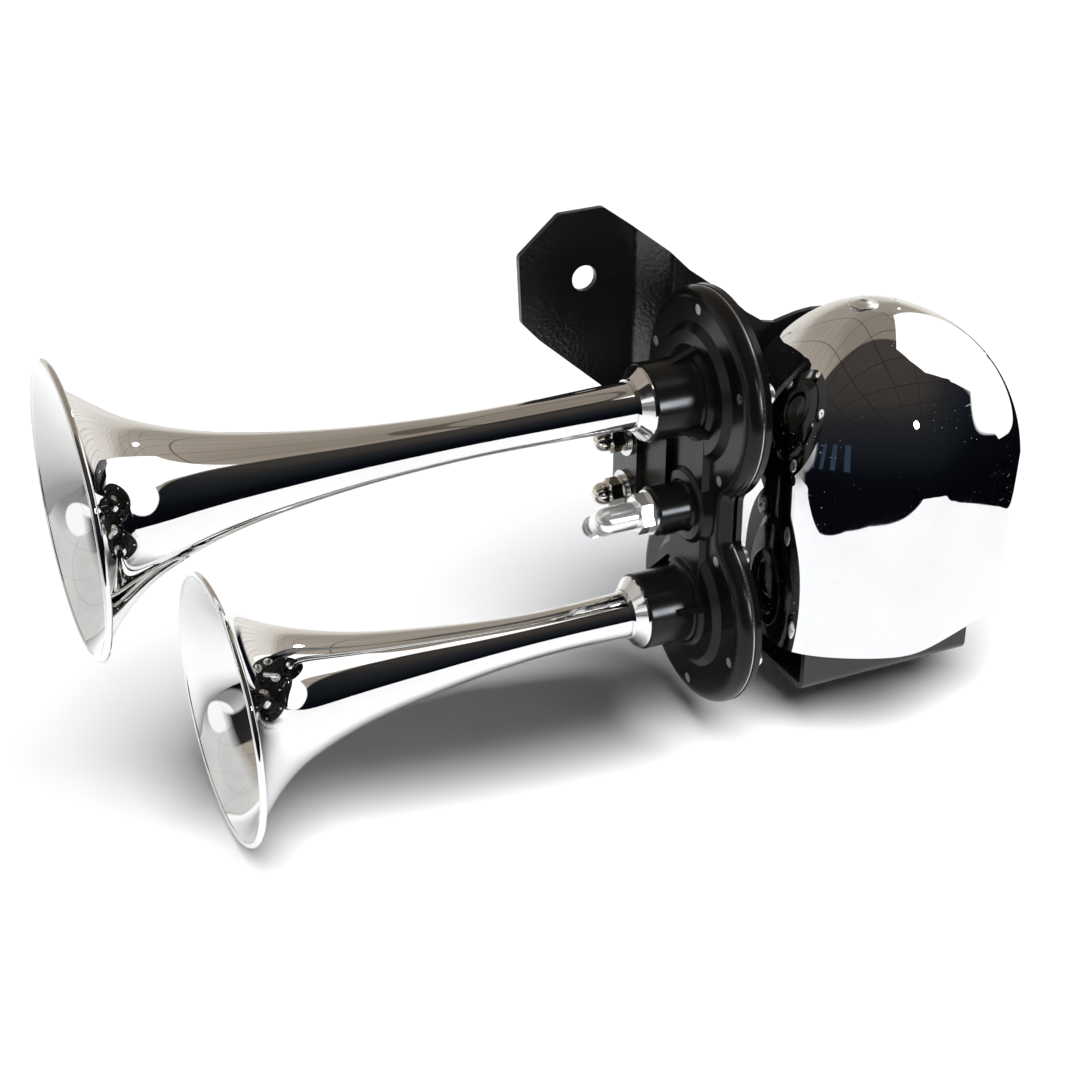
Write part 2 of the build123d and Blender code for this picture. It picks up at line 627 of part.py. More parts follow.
with BuildPart() as chrome_cover:
    for h in (RIM_H, DOME_BASE):
        with BuildSketch(plan(h)):
            with BuildLine():
                Spline(*level(h, 0.0, DOME_TOP), periodic=True)
            make_face()
    loft(ruled=True)
    add(cover_dome.part)
    add(cover_space.part, mode=Mode.SUBTRACT)
    add(cover_space_dome.part, mode=Mode.SUBTRACT)
    with BuildSketch(plan(-60)):
        with Locations((CA, COVER_BACK_B + 40)):
            Rectangle(200, 80)
    extrude(amount=-200, mode=Mode.SUBTRACT)
    with BuildSketch(plan(-60)):
        with Locations((COVER_SCREW_A, COVER_SCREW_B)):
            Circle(M5_R + 0.2)
    extrude(amount=-50, mode=Mode.SUBTRACT)
chrome_cover.part.label = "chrome_cover"
export_step(chrome_cover.part, "parts/chrome_cover.step")

# screw on the cover's crown and the hexagon post that it pulls on
COVER_TOP_H, COVER_UNDER_H = OUTER_LEVELS[-1], INNER_LEVELS[-1]
CAP_H = 5.0                  # top of the motor's end cap
with BuildPart() as cover_screw:
    with BuildSketch(upright(COVER_SCREW_A, COVER_SCREW_B)):
        with BuildLine():
            top = -COVER_TOP_H
            Polyline((0, top), (5.8, top), (5.8, top + 0.4), (4.8, top + 0.6))
            ThreePointArc((4.8, top + 0.6), (3.0, top + 1.4), (0, top + 1.7))
            Line((0, top + 1.7), (0, top))
        make_face()
        with Locations((M5_R / 2, top - 6)):
            Rectangle(M5_R, 12)
    revolve(axis=upright_axis(COVER_SCREW_A, COVER_SCREW_B))
    with BuildSketch(plan(COVER_TOP_H - 0.5)):
        with Locations((COVER_SCREW_A, COVER_SCREW_B)):
            RegularPolygon(1.5, 6, major_radius=False)
    extrude(amount=4, mode=Mode.SUBTRACT)
cover_screw.part.label = "cover_screw"
export_step(cover_screw.part, "parts/cover_screw.step")

with BuildPart() as cover_post:
    with BuildSketch(plan(CAP_H)):
        with Locations((COVER_SCREW_A, COVER_SCREW_B)):
            RegularPolygon(4.0, 6, major_radius=False)
    extrude(amount=CAP_H - COVER_UNDER_H)
    with BuildSketch(plan(CAP_H)):
        with Locations((COVER_SCREW_A, COVER_SCREW_B)):
            Circle(M4_R)
    extrude(amount=-4.5)
    with BuildSketch(plan(COVER_UNDER_H)):
        with Locations((COVER_SCREW_A, COVER_SCREW_B)):
            Circle(M5_R + 0.03)
    extrude(amount=-12, mode=Mode.SUBTRACT)
    # its top follows the dome's underside
    add(cover_space_dome.part, mode=Mode.INTERSECT)
cover_post.part.label = "cover_post"
export_step(cover_post.part, "parts/cover_post.step")

# ---------------------------------------------------------------- compressor
# Upright permanent-magnet motor (top) on a four-vane pump (bottom).
CAN_TOP_H, CAN_END_H = 9.0, 70.0
PUMP_TOP_H, PUMP_FLOOR_H, PUMP_END_H = 70.0, 78.0, 96.0
PUMP_COVER_H = 104.0
CORE_R = 22.0
ROTOR_R = 16.4
CHAMBER_R = 19.6
CHAMBER_SHIFT = 3.1          # chamber's centre, towards +X of the shaft


with BuildPart() as motor_can:
    with BuildSketch(plan(CAN_END_H)):
        with Locations((MOTOR_A, MOTOR_B)):
            Circle(MOTOR_R)
            Circle(MOTOR_R - 1.6, mode=Mode.SUBTRACT)
    extrude(amount=CAN_END_H - CAN_TOP_H)
motor_can.part.label = "motor_can"
export_step(motor_can.part, "parts/motor_can.step")

with BuildPart() as motor_magnets:
    with BuildSketch(plan(60.0)):
        with Locations((MOTOR_A, MOTOR_B)):
            Circle(MOTOR_R - 1.6)
            Circle(CORE_R + 0.6, mode=Mode.SUBTRACT)
            Rectangle(16, 80, mode=Mode.SUBTRACT)
    extrude(amount=40.0)
motor_magnets.part.label = "motor_magnets"
export_step(motor_magnets.part, "parts/motor_magnets.step")

with BuildPart() as motor_end_cap:
    with BuildSketch(plan(CAN_TOP_H)):
        with Locations((MOTOR_A, MOTOR_B)):
            Circle(MOTOR_R)
    extrude(amount=CAN_TOP_H - CAP_H)
    with BuildSketch(plan(CAN_TOP_H + 2.0)):
        with Locations((MOTOR_A, MOTOR_B)):
            Circle(MOTOR_R - 1.65)
            Circle(MOTOR_R - 4.5, mode=Mode.SUBTRACT)
    extrude(amount=2.0)
    with BuildSketch(plan(CAN_TOP_H + 4.5)):
        with Locations((MOTOR_A, MOTOR_B)):
            Circle(7.0)
    extrude(amount=4.5)
    with BuildSketch(plan(CAN_TOP_H + 6)):
        with Locations((MOTOR_A, MOTOR_B)):
            Circle(5.0)
    extrude(amount=8.0, mode=Mode.SUBTRACT)
    with BuildSketch(plan(CAN_TOP_H + 6)):
        with Locations((COVER_SCREW_A, COVER_SCREW_B)):
            Circle(M4_R + 0.03)
        with Locations((MOTOR_A + 18, MOTOR_B + 6), (MOTOR_A + 18, MOTOR_B - 6)):
            Rectangle(1.0, 6.4)
    extrude(amount=30.0, mode=Mode.SUBTRACT)
    fillet([e for e in edges().filter_by(GeomType.CIRCLE)
            if abs(e.center().Z - z_of(CAP_H)) < 1e-3 and e.radius > 20], 1.5)
motor_end_cap.part.label = "motor_end_cap"
export_step(motor_end_cap.part, "parts/motor_end_cap.step")

with BuildPart() as terminals:
    for db in (6, -6):
        with BuildSketch(plan(CAN_TOP_H + 3.5)):
            with Locations((MOTOR_A + 18, MOTOR_B + db)):
                Rectangle(0.8, 6.3)
        extrude(amount=14.0)
        with BuildSketch(plan(CAN_TOP_H + 3.5)):
            with Locations((MOTOR_A + 16.6, MOTOR_B + db)):
                Rectangle(3.6, 6.3)
        extrude(amount=0.8)
terminals.part.label = "terminals"
export_step(terminals.part, "parts/terminals.step")

with BuildPart() as motor_bushes:
    with BuildSketch(plan(CAN_TOP_H + 4.5)):
        with Locations((MOTOR_A, MOTOR_B)):
            Circle(5.0)
            Circle(SHAFT_R + RUN, mode=Mode.SUBTRACT)
    extrude(amount=6.5)
    with BuildSketch(plan(PUMP_FLOOR_H - 1.0)):
        with Locations((MOTOR_A, MOTOR_B)):
            Circle(5.0)
            Circle(SHAFT_R + RUN, mode=Mode.SUBTRACT)
    extrude(amount=PUMP_FLOOR_H - 1.0 - PUMP_TOP_H)
motor_bushes.part.label = "motor_bushes"
export_step(motor_bushes.part, "parts/motor_bushes.step")

with BuildPart() as rotor_shaft:
    with BuildSketch(plan(PUMP_END_H - 0.4)):
        with Locations((MOTOR_A, MOTOR_B)):
            Circle(SHAFT_R)
    extrude(amount=PUMP_END_H - 0.4 - 8.0)
    chamfer(edges().filter_by(GeomType.CIRCLE), 0.4)
rotor_shaft.part.label = "rotor_shaft"
export_step(rotor_shaft.part, "parts/rotor_shaft.step")

SLOTS = 12
with BuildPart() as armature_core:
    with BuildSketch(plan(56.0)):
        with Locations((MOTOR_A, MOTOR_B)):
            Circle(CORE_R)
            Circle(SHAFT_R, mode=Mode.SUBTRACT)
            with PolarLocations(14.2, SLOTS):
                Rectangle(7.6, 4.0, mode=Mode.SUBTRACT)
            with PolarLocations(20.0, SLOTS):
                Rectangle(6.0, 1.6, mode=Mode.SUBTRACT)
    extrude(amount=32.0)
armature_core.part.label = "armature_core"
export_step(armature_core.part, "parts/armature_core.step")

with BuildPart() as windings:
    with BuildSketch(plan(56.0)):
        with Locations((MOTOR_A, MOTOR_B)):
            with PolarLocations(14.2, SLOTS):
                Rectangle(7.6, 4.0)
    extrude(amount=32.0)
    for h in (24.0, 62.5):
        with BuildSketch(plan(h)):
            with Locations((MOTOR_A, MOTOR_B)):
                Circle(19.0)
                Circle(6.0, mode=Mode.SUBTRACT)
        extrude(amount=4.5 if h < 40 else 6.5)
    fillet([e for e in edges().filter_by(GeomType.CIRCLE)
            if e.radius > 15 and (abs(e.center().Z - z_of(19.5)) < 0.1
                                  or abs(e.center().Z - z_of(62.5)) < 0.1)], 2.0)
windings.part.label = "windings"
export_step(windings.part, "parts/windings.step")

with BuildPart() as commutator:
    with BuildSketch(plan(19.5)):
        with Locations((MOTOR_A, MOTOR_B)):
            Circle(8.0)
            Circle(SHAFT_R, mode=Mode.SUBTRACT)
            with PolarLocations(8.0, SLOTS, start_angle=15):
                Rectangle(1.6, 0.5, mode=Mode.SUBTRACT)
    extrude(amount=5.3)
commutator.part.label = "commutator"
export_step(commutator.part, "parts/commutator.step")

with BuildPart() as brush_holder:
    with BuildSketch(plan(19.0)):
        with Locations((MOTOR_A, MOTOR_B)):
            Circle(24.8)
            Circle(9.0, mode=Mode.SUBTRACT)
    extrude(amount=5.0)
    with BuildSketch(plan(17.8)):
        with Locations((MOTOR_A, MOTOR_B)):
            Rectangle(44.0, 5.0)
    extrude(amount=3.6, mode=Mode.SUBTRACT)
    for spot in ((18.0, 6.0), (18.0, -6.0)):
        with BuildSketch(plan(20.0)):
            with Locations((MOTOR_A + spot[0], MOTOR_B + spot[1])):
                Rectangle(7.6, 7.6)
        extrude(amount=10.0, mode=Mode.SUBTRACT)
brush_holder.part.label = "brush_holder"
export_step(brush_holder.part, "parts/brush_holder.step")

with BuildPart() as brushes:
    for s in (1, -1):
        with BuildSketch(plan(17.8)):
            with Locations((MOTOR_A + s * 13.05, MOTOR_B)):
                Rectangle(9.8, 4.9)
        extrude(amount=3.5)
brushes.part.label = "brushes"
export_step(brushes.part, "parts/brushes.step")

with BuildPart() as brush_springs:
    for s in (1, -1):
        with BuildSketch(Plane(origin=(x_of(MOTOR_A) + s * 18.05, y_of(MOTOR_B), z_of(16.05)),
                               x_dir=(0, 1, 0), z_dir=(s, 0, 0))):
            Circle(1.6)
            Circle(1.1, mode=Mode.SUBTRACT)
        extrude(amount=3.85)
brush_springs.part.label = "brush_springs"
export_step(brush_springs.part, "parts/brush_springs.step")

with BuildPart() as pump_body:
    with BuildSketch(plan(PUMP_END_H)):
        with Locations((MOTOR_A, MOTOR_B)):
            Circle(MOTOR_R + 1.0)
    extrude(amount=PUMP_END_H - PUMP_TOP_H)
    with BuildSketch(plan(PUMP_TOP_H)):
        with Locations((MOTOR_A, MOTOR_B)):
            Circle(MOTOR_R - 1.65)
            Circle(MOTOR_R - 5, mode=Mode.SUBTRACT)
    extrude(amount=3.0)
    # outlet and intake bosses
    with BuildSketch(across(MOTOR_A - MOTOR_R - 5.0, MOTOR_B, 87.0)):
        Circle(7.0)
    extrude(amount=10.0)
    with BuildSketch(across(MOTOR_A + MOTOR_R + 5.0, MOTOR_B, 87.0)):
        Circle(7.0)
    extrude(amount=-10.0)
    with BuildSketch(plan(PUMP_END_H + 1)):
        with Locations((MOTOR_A + CHAMBER_SHIFT, MOTOR_B)):
            Circle(CHAMBER_R)
    extrude(amount=PUMP_END_H + 1 - PUMP_FLOOR_H, mode=Mode.SUBTRACT)
    with BuildSketch(plan(PUMP_FLOOR_H + 1)):
        with Locations((MOTOR_A, MOTOR_B)):
            Circle(SHAFT_R + 0.3)
    extrude(amount=14, mode=Mode.SUBTRACT)
    with BuildSketch(plan(PUMP_FLOOR_H - 1.0)):
        with Locations((MOTOR_A, MOTOR_B)):
            Circle(5.0)
    extrude(amount=14, mode=Mode.SUBTRACT)
    with BuildSketch(across(MOTOR_A - MOTOR_R - 6.0, MOTOR_B, 87.0)):
        Circle(4.0)
    extrude(amount=9.0, mode=Mode.SUBTRACT)
    with BuildSketch(across(MOTOR_A - MOTOR_R - 6.0, MOTOR_B, 87.0)):
        Circle(2.2)
    extrude(amount=24.0, mode=Mode.SUBTRACT)
    with BuildSketch(across(MOTOR_A + MOTOR_R + 6.0, MOTOR_B, 87.0)):
        Circle(4.0)
    extrude(amount=-9.0, mode=Mode.SUBTRACT)
    with BuildSketch(across(MOTOR_A + MOTOR_R + 6.0, MOTOR_B, 87.0)):
        Circle(2.2)
    extrude(amount=-18.0, mode=Mode.SUBTRACT)
    with BuildSketch(plan(PUMP_END_H + 1)):
        with Locations((MOTOR_A, MOTOR_B)):
            with PolarLocations(26.4, 4, start_angle=45):
                Circle(1.53)
    extrude(amount=13, mode=Mode.SUBTRACT)
pump_body.part.label = "pump_body"
export_step(pump_body.part, "parts/pump_body.step")

with BuildPart() as pump_rotor:
    with BuildSketch(plan(PUMP_END_H - 0.05)):
        with Locations((MOTOR_A, MOTOR_B)):
            Circle(ROTOR_R)
            Circle(SHAFT_R, mode=Mode.SUBTRACT)
            with PolarLocations(ROTOR_R - 4.0, 4, start_angle=20):
                Rectangle(9.0, 2.1, mode=Mode.SUBTRACT)
    extrude(amount=PUMP_END_H - PUMP_FLOOR_H - 0.1)
pump_rotor.part.label = "pump_rotor"
export_step(pump_rotor.part, "parts/pump_rotor.step")

with BuildPart() as pump_vanes:
    with BuildSketch(plan(PUMP_END_H - 0.1)):
        with Locations((MOTOR_A, MOTOR_B)):
            with PolarLocations(ROTOR_R - 4.35, 4, start_angle=20):
                Rectangle(8.2, 2.0)
    extrude(amount=PUMP_END_H - PUMP_FLOOR_H - 0.2)
pump_vanes.part.label = "pump_vanes"
export_step(pump_vanes.part, "parts/pump_vanes.step")

ISOLATOR_DA = 20.0
with BuildPart() as pump_cover:
    with BuildSketch(plan(PUMP_COVER_H)):
        with Locations((MOTOR_A, MOTOR_B)):
            Circle(MOTOR_R + 1.0)
            with PolarLocations(26.4, 4, start_angle=45):
                Circle(1.7, mode=Mode.SUBTRACT)
    extrude(amount=PUMP_COVER_H - PUMP_END_H)
    with BuildSketch(plan(PUMP_COVER_H)):
        with Locations((MOTOR_A, MOTOR_B)):
            with PolarLocations(26.4, 4, start_angle=45):
                Circle(3.4)
    extrude(amount=3.2, mode=Mode.SUBTRACT)
    with BuildSketch(plan(PUMP_COVER_H + 1)):
        with Locations((MOTOR_A - ISOLATOR_DA, MOTOR_B), (MOTOR_A + ISOLATOR_DA, MOTOR_B)):
            Circle(M5_R + 0.03)
    extrude(amount=7.0, mode=Mode.SUBTRACT)
pump_cover.part.label = "pump_cover"
export_step(pump_cover.part, "parts/pump_cover.step")

with BuildPart() as pump_screws:
    with BuildSketch(plan(PUMP_COVER_H - 3.2)):
        with Locations((MOTOR_A, MOTOR_B)):
            with PolarLocations(26.4, 4, start_angle=45):
                Circle(1.5)
    extrude(amount=16.0)
    with BuildSketch(plan(PUMP_COVER_H - 0.2)):
        with Locations((MOTOR_A, MOTOR_B)):
            with PolarLocations(26.4, 4, start_angle=45):
                Circle(2.75)
    extrude(amount=3.0)
    with BuildSketch(plan(PUMP_COVER_H + 1)):
        with Locations((MOTOR_A, MOTOR_B)):
            with PolarLocations(26.4, 4, start_angle=45):
                RegularPolygon(1.25, 6, major_radius=False)
    extrude(amount=2.6, mode=Mode.SUBTRACT)
pump_screws.part.label = "pump_screws"
export_step(pump_screws.part, "parts/pump_screws.step")

with BuildPart() as outlet_nipple:
    with BuildSketch(lathe(MOTOR_B, 87.0)):
        with BuildLine():
            d = MOTOR_A - MOTOR_R - 5.0
            Polyline((d + 6.5, 0), (d + 6.5, 3.98), (d, 3.98), (d, 5.6), (d - 2.5, 5.6),
                     (d - 2.5, 3.6), (d - 4.0, 3.6), (d - 4.0, 4.3), (d - 7.0, 3.5), (d - 7.0, 4.2),
                     (d - 10.5, 3.3), (d - 10.5, 0), close=True)
        make_face()
    revolve(axis=lathe_axis(MOTOR_B, 87.0))
    with BuildSketch(across(MOTOR_A - MOTOR_R - 20.0, MOTOR_B, 87.0)):
        Circle(2.2)
    extrude(amount=40.0, mode=Mode.SUBTRACT)
outlet_nipple.part.label = "outlet_nipple"
export_step(outlet_nipple.part, "parts/outlet_nipple.step")

with BuildPart() as filter_cap:
    with BuildSketch(lathe(MOTOR_B, 87.0)):
        with BuildLine():
            d = MOTOR_A + MOTOR_R + 5.0
            Polyline((d - 6.5, 2.2), (d - 6.5, 3.98), (d, 3.98), (d, 8.5), (d + 9.0, 8.5),
                     (d + 9.0, 3.0), (d + 8.0, 3.0), (d + 8.0, 7.3), (d + 1.2, 7.3),
                     (d + 1.2, 2.2), close=True)
        make_face()
    revolve(axis=lathe_axis(MOTOR_B, 87.0))
filter_cap.part.label = "filter_cap"
export_step(filter_cap.part, "parts/filter_cap.step")

with BuildPart() as intake_filter:
    with BuildSketch(across(MOTOR_A + MOTOR_R + 6.2, MOTOR_B, 87.0)):
        Circle(7.25)
    extrude(amount=6.8)
intake_filter.part.label = "intake_filter"
export_step(intake_filter.part, "parts/intake_filter.step")

# strap round the motor, bolted to the main plate
STRAP_T = 1.5
with BuildPart() as motor_strap:
    with BuildSketch(plan(STRAP_H + 9)):
        with BuildLine():
            ra, rb = MOTOR_R + 0.02, MOTOR_R + 0.02 + STRAP_T
            ea = STRAP_A + 7.0
            back = PLATE_B - MOTOR_B
            fa = sqrt(rb * rb - (back - STRAP_T - 4) ** 2) if rb > back - STRAP_T - 4 else 0
            q = radians(20)
            out1 = (MOTOR_A + rb * cos(q), MOTOR_B + rb * sin(q))
            out2 = (MOTOR_A - rb * cos(q), MOTOR_B + rb * sin(q))
            in1 = (MOTOR_A + ra * cos(q), MOTOR_B + ra * sin(q))
            in2 = (MOTOR_A - ra * cos(q), MOTOR_B + ra * sin(q))
            ThreePointArc(out1, (MOTOR_A, MOTOR_B - rb), out2)
            ThreePointArc(in1, (MOTOR_A, MOTOR_B - ra), in2)
            Polyline(out1, (MOTOR_A + rb * cos(q), PLATE_B - STRAP_T),
                     (MOTOR_A + ea, PLATE_B - STRAP_T), (MOTOR_A + ea, PLATE_B),
                     (MOTOR_A + ra * cos(q), PLATE_B), in1)
            Polyline(out2, (MOTOR_A - rb * cos(q), PLATE_B - STRAP_T),
                     (MOTOR_A - ea, PLATE_B - STRAP_T), (MOTOR_A - ea, PLATE_B),
                     (MOTOR_A - ra * cos(q), PLATE_B), in2)
        make_face()
    extrude(amount=18)
    with BuildSketch(front(0)):
        with Locations((MOTOR_A - STRAP_A, -STRAP_H), (MOTOR_A + STRAP_A, -STRAP_H)):
            Circle(M5_R + 0.2)
    extrude(amount=-60, mode=Mode.SUBTRACT)
motor_strap.part.label = "motor_strap"
export_step(motor_strap.part, "parts/motor_strap.step")

with BuildPart() as strap_bolts:
    for s in (1, -1):
        with BuildSketch(front(PLATE_B - STRAP_T)):
            with Locations((MOTOR_A + s * STRAP_A, -STRAP_H)):
                RegularPolygon(4.0, 6, major_radius=False)
        extrude(amount=3.5)
        with BuildSketch(front(PLATE_B - STRAP_T)):
            with Locations((MOTOR_A + s * STRAP_A, -STRAP_H)):
                Circle(M5_R)
        extrude(amount=-10.0)
strap_bolts.part.label = "strap_bolts"
export_step(strap_bolts.part, "parts/strap_bolts.step")

with BuildPart() as strap_nuts:
    with BuildSketch(front(PLATE_B + SHEET)):
        with Locations((MOTOR_A - STRAP_A, -STRAP_H), (MOTOR_A + STRAP_A, -STRAP_H)):
            RegularPolygon(4.0, 6, major_radius=False)
            Circle(M5_R + 0.02, mode=Mode.SUBTRACT)
    extrude(amount=-4.0)
strap_nuts.part.label = "strap_nuts"
export_step(strap_nuts.part, "parts/strap_nuts.step")

# rubber feet between the pump and the tray, and the screws through them
with BuildPart() as isolators:
    for s in (1, -1):
        with BuildSketch(upright(MOTOR_A + s * ISOLATOR_DA, MOTOR_B)):
            with BuildLine():
                lo, hi = -TRAY_H, -PUMP_COVER_H
                Polyline((2.8, lo), (7.5, lo), (7.5, lo + 3.5), (5.8, lo + 5.5), (5.8, hi - 5.5),
                         (7.5, hi - 3.5), (7.5, hi), (2.8, hi), close=True)
            make_face()
        revolve(axis=upright_axis(MOTOR_A + s * ISOLATOR_DA, MOTOR_B))
isolators.part.label = "isolators"
export_step(isolators.part, "parts/isolators.step")

with BuildPart() as isolator_screws:
    for s in (1, -1):
        with BuildSketch(plan(TRAY_H + SHEET)):
            with Locations((MOTOR_A + s * ISOLATOR_DA, MOTOR_B)):
                Circle(M5_R)
        extrude(amount=TRAY_H + SHEET - PUMP_COVER_H + 5.5)
        with BuildSketch(plan(TRAY_H + SHEET)):
            with Locations((MOTOR_A + s * ISOLATOR_DA, MOTOR_B)):
                RegularPolygon(4.0, 6, major_radius=False)
        extrude(amount=-3.5)
isolator_screws.part.label = "isolator_screws"
export_step(isolator_screws.part, "parts/isolator_screws.step")
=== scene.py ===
import json
import math

import bpy
import numpy as np
from mathutils import Matrix, Vector


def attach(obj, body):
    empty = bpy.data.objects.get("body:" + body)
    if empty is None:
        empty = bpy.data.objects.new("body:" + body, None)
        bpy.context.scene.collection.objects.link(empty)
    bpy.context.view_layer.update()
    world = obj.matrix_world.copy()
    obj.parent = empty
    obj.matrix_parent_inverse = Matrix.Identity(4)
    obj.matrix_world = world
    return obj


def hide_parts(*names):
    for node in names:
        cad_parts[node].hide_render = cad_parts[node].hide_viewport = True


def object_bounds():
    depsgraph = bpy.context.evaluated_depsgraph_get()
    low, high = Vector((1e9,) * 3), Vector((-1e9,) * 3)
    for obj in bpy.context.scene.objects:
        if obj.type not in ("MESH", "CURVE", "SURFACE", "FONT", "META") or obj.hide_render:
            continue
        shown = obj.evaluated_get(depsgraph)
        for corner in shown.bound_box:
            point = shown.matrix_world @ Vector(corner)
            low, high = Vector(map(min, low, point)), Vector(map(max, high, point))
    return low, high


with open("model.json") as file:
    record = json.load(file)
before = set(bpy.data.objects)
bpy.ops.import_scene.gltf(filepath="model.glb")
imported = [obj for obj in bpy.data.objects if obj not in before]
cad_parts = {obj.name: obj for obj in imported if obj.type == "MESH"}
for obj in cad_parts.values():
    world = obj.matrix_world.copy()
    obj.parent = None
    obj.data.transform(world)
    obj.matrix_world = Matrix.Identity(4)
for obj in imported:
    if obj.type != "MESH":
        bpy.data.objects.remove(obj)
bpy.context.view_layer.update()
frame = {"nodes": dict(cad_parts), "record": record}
N = frame["nodes"]
scene = bpy.context.scene

# ------------------------------------------------------------------ the part's own lengths (mm)
X0, TY, UZ = -6.3, -53.75, -31.0


def mm(a, b, h):
    """(a, b, h) of the part's drawing to the row frame in metres."""
    return Vector(((X0 + a) / 1000, (TY + b) / 1000, (UZ - h) / 1000))


# ------------------------------------------------------------------ node helpers
def new_mat(name):
    m = bpy.data.materials.new(name)
    m.use_nodes = True
    m.node_tree.nodes.clear()
    t = m.node_tree
    out = t.nodes.new("ShaderNodeOutputMaterial")
    bsdf = t.nodes.new("ShaderNodeBsdfPrincipled")
    t.links.new(bsdf.outputs[0], out.inputs[0])
    return m, t, bsdf


def coords(t):
    return t.nodes.new("ShaderNodeTexCoord").outputs["Object"]


def noise(t, scale, detail=4.0, rough=0.55, vec=None, stretch=None, distort=0.0):
    v = vec or coords(t)
    if stretch:
        mp = t.nodes.new("ShaderNodeMapping")
        mp.inputs["Scale"].default_value = stretch
        t.links.new(v, mp.inputs[0])
        v = mp.outputs[0]
    n = t.nodes.new("ShaderNodeTexNoise")
    n.inputs["Scale"].default_value = scale
    n.inputs["Detail"].default_value = detail
    n.inputs["Roughness"].default_value = rough
    n.inputs["Distortion"].default_value = distort
    t.links.new(v, n.inputs["Vector"])
    return n.outputs["Fac"]


def ramp(t, fac, stops):
    r = t.nodes.new("ShaderNodeValToRGB")
    el = r.color_ramp.elements
    while len(el) < len(stops):
        el.new(0.5)
    for e, (p, c) in zip(el, stops):
        e.position = p
        e.color = c if len(c) == 4 else (*c, 1)
    t.links.new(fac, r.inputs[0])
    return r.outputs[0]


def math_node(t, op, a, b=None, clamp=False):
    n = t.nodes.new("ShaderNodeMath")
    n.operation = op
    n.use_clamp = clamp
    for i, v in enumerate((a, b)):
        if v is None:
            continue
        if isinstance(v, (int, float)):
            n.inputs[i].default_value = v
        else:
            t.links.new(v, n.inputs[i])
    return n.outputs[0]


def remap(t, fac, a, b, lo, hi):
    n = t.nodes.new("ShaderNodeMapRange")
    n.inputs["From Min"].default_value = a
    n.inputs["From Max"].default_value = b
    n.inputs["To Min"].default_value = lo
    n.inputs["To Max"].default_value = hi
    t.links.new(fac, n.inputs["Value"])
    return n.outputs[0]


def bump(t, bsdf, height, strength, distance):
    n = t.nodes.new("ShaderNodeBump")
    n.inputs["Strength"].default_value = strength
    n.inputs["Distance"].default_value = distance
    t.links.new(height, n.inputs["Height"])
    t.links.new(n.outputs[0], bsdf.inputs["Normal"])
    return n


def mix_col(t, fac, a, b):
    n = t.nodes.new("ShaderNodeMix")
    n.data_type = "RGBA"
    t.links.new(fac, n.inputs[0])
    for i, v in ((6, a), (7, b)):
        if isinstance(v, tuple):
            n.inputs[i].default_value = (*v, 1) if len(v) == 3 else v
        else:
            t.links.new(v, n.inputs[i])
    return n.outputs[2]


# ------------------------------------------------------------------ materials
def chrome(name, tint=(0.86, 0.86, 0.855), rough=(0.015, 0.05), dust=0.0, wave=0.0):
    m, t, b = new_mat(name)
    b.inputs["Metallic"].default_value = 1.0
    c = coords(t)
    blotch = noise(t, 35, 5, 0.6, c)
    dark = tuple(v * 0.955 for v in tint)
    base = mix_col(t, remap(t, blotch, 0.35, 0.7, 0, 1), dark, tint)
    fine = noise(t, 900, 3, 0.6, c)
    r = remap(t, math_node(t, "MULTIPLY", blotch, fine), 0.12, 0.4, rough[0], rough[1])
    if dust > 0:
        specks = t.nodes.new("ShaderNodeTexVoronoi")
        specks.inputs["Scale"].default_value = 640
        t.links.new(c, specks.inputs["Vector"])
        where = remap(t, noise(t, 26, 3, 0.6, c), 0.42, 0.58, 0, 1)
        dots = remap(t, specks.outputs["Distance"], 0.04, 0.115, 1, 0)
        sparse = remap(t, specks.outputs["Color"], 0.54, 0.58, 0, 1)
        d = math_node(t, "MULTIPLY", math_node(t, "MULTIPLY", dots, sparse), where, True)
        scr = noise(t, 60, 6, 0.75, c, (1, 1, 14), 0.4)
        lines = math_node(t, "MULTIPLY", remap(t, scr, 0.665, 0.685, 0, 1), where, True)
        d = math_node(t, "MAXIMUM", d, math_node(t, "MULTIPLY", lines, 0.5))
        d = math_node(t, "MULTIPLY", d, dust, True)
        base = mix_col(t, d, base, (0.9, 0.92, 0.96))
        r = math_node(t, "ADD", r, math_node(t, "MULTIPLY", d, 0.55))
        t.links.new(remap(t, d, 0, 1, 1.0, 0.35), b.inputs["Metallic"])
    t.links.new(base, b.inputs["Base Color"])
    t.links.new(r, b.inputs["Roughness"])
    if wave:
        bump(t, b, noise(t, 45, 2, 0.5, c), 1.0, wave)
    return m


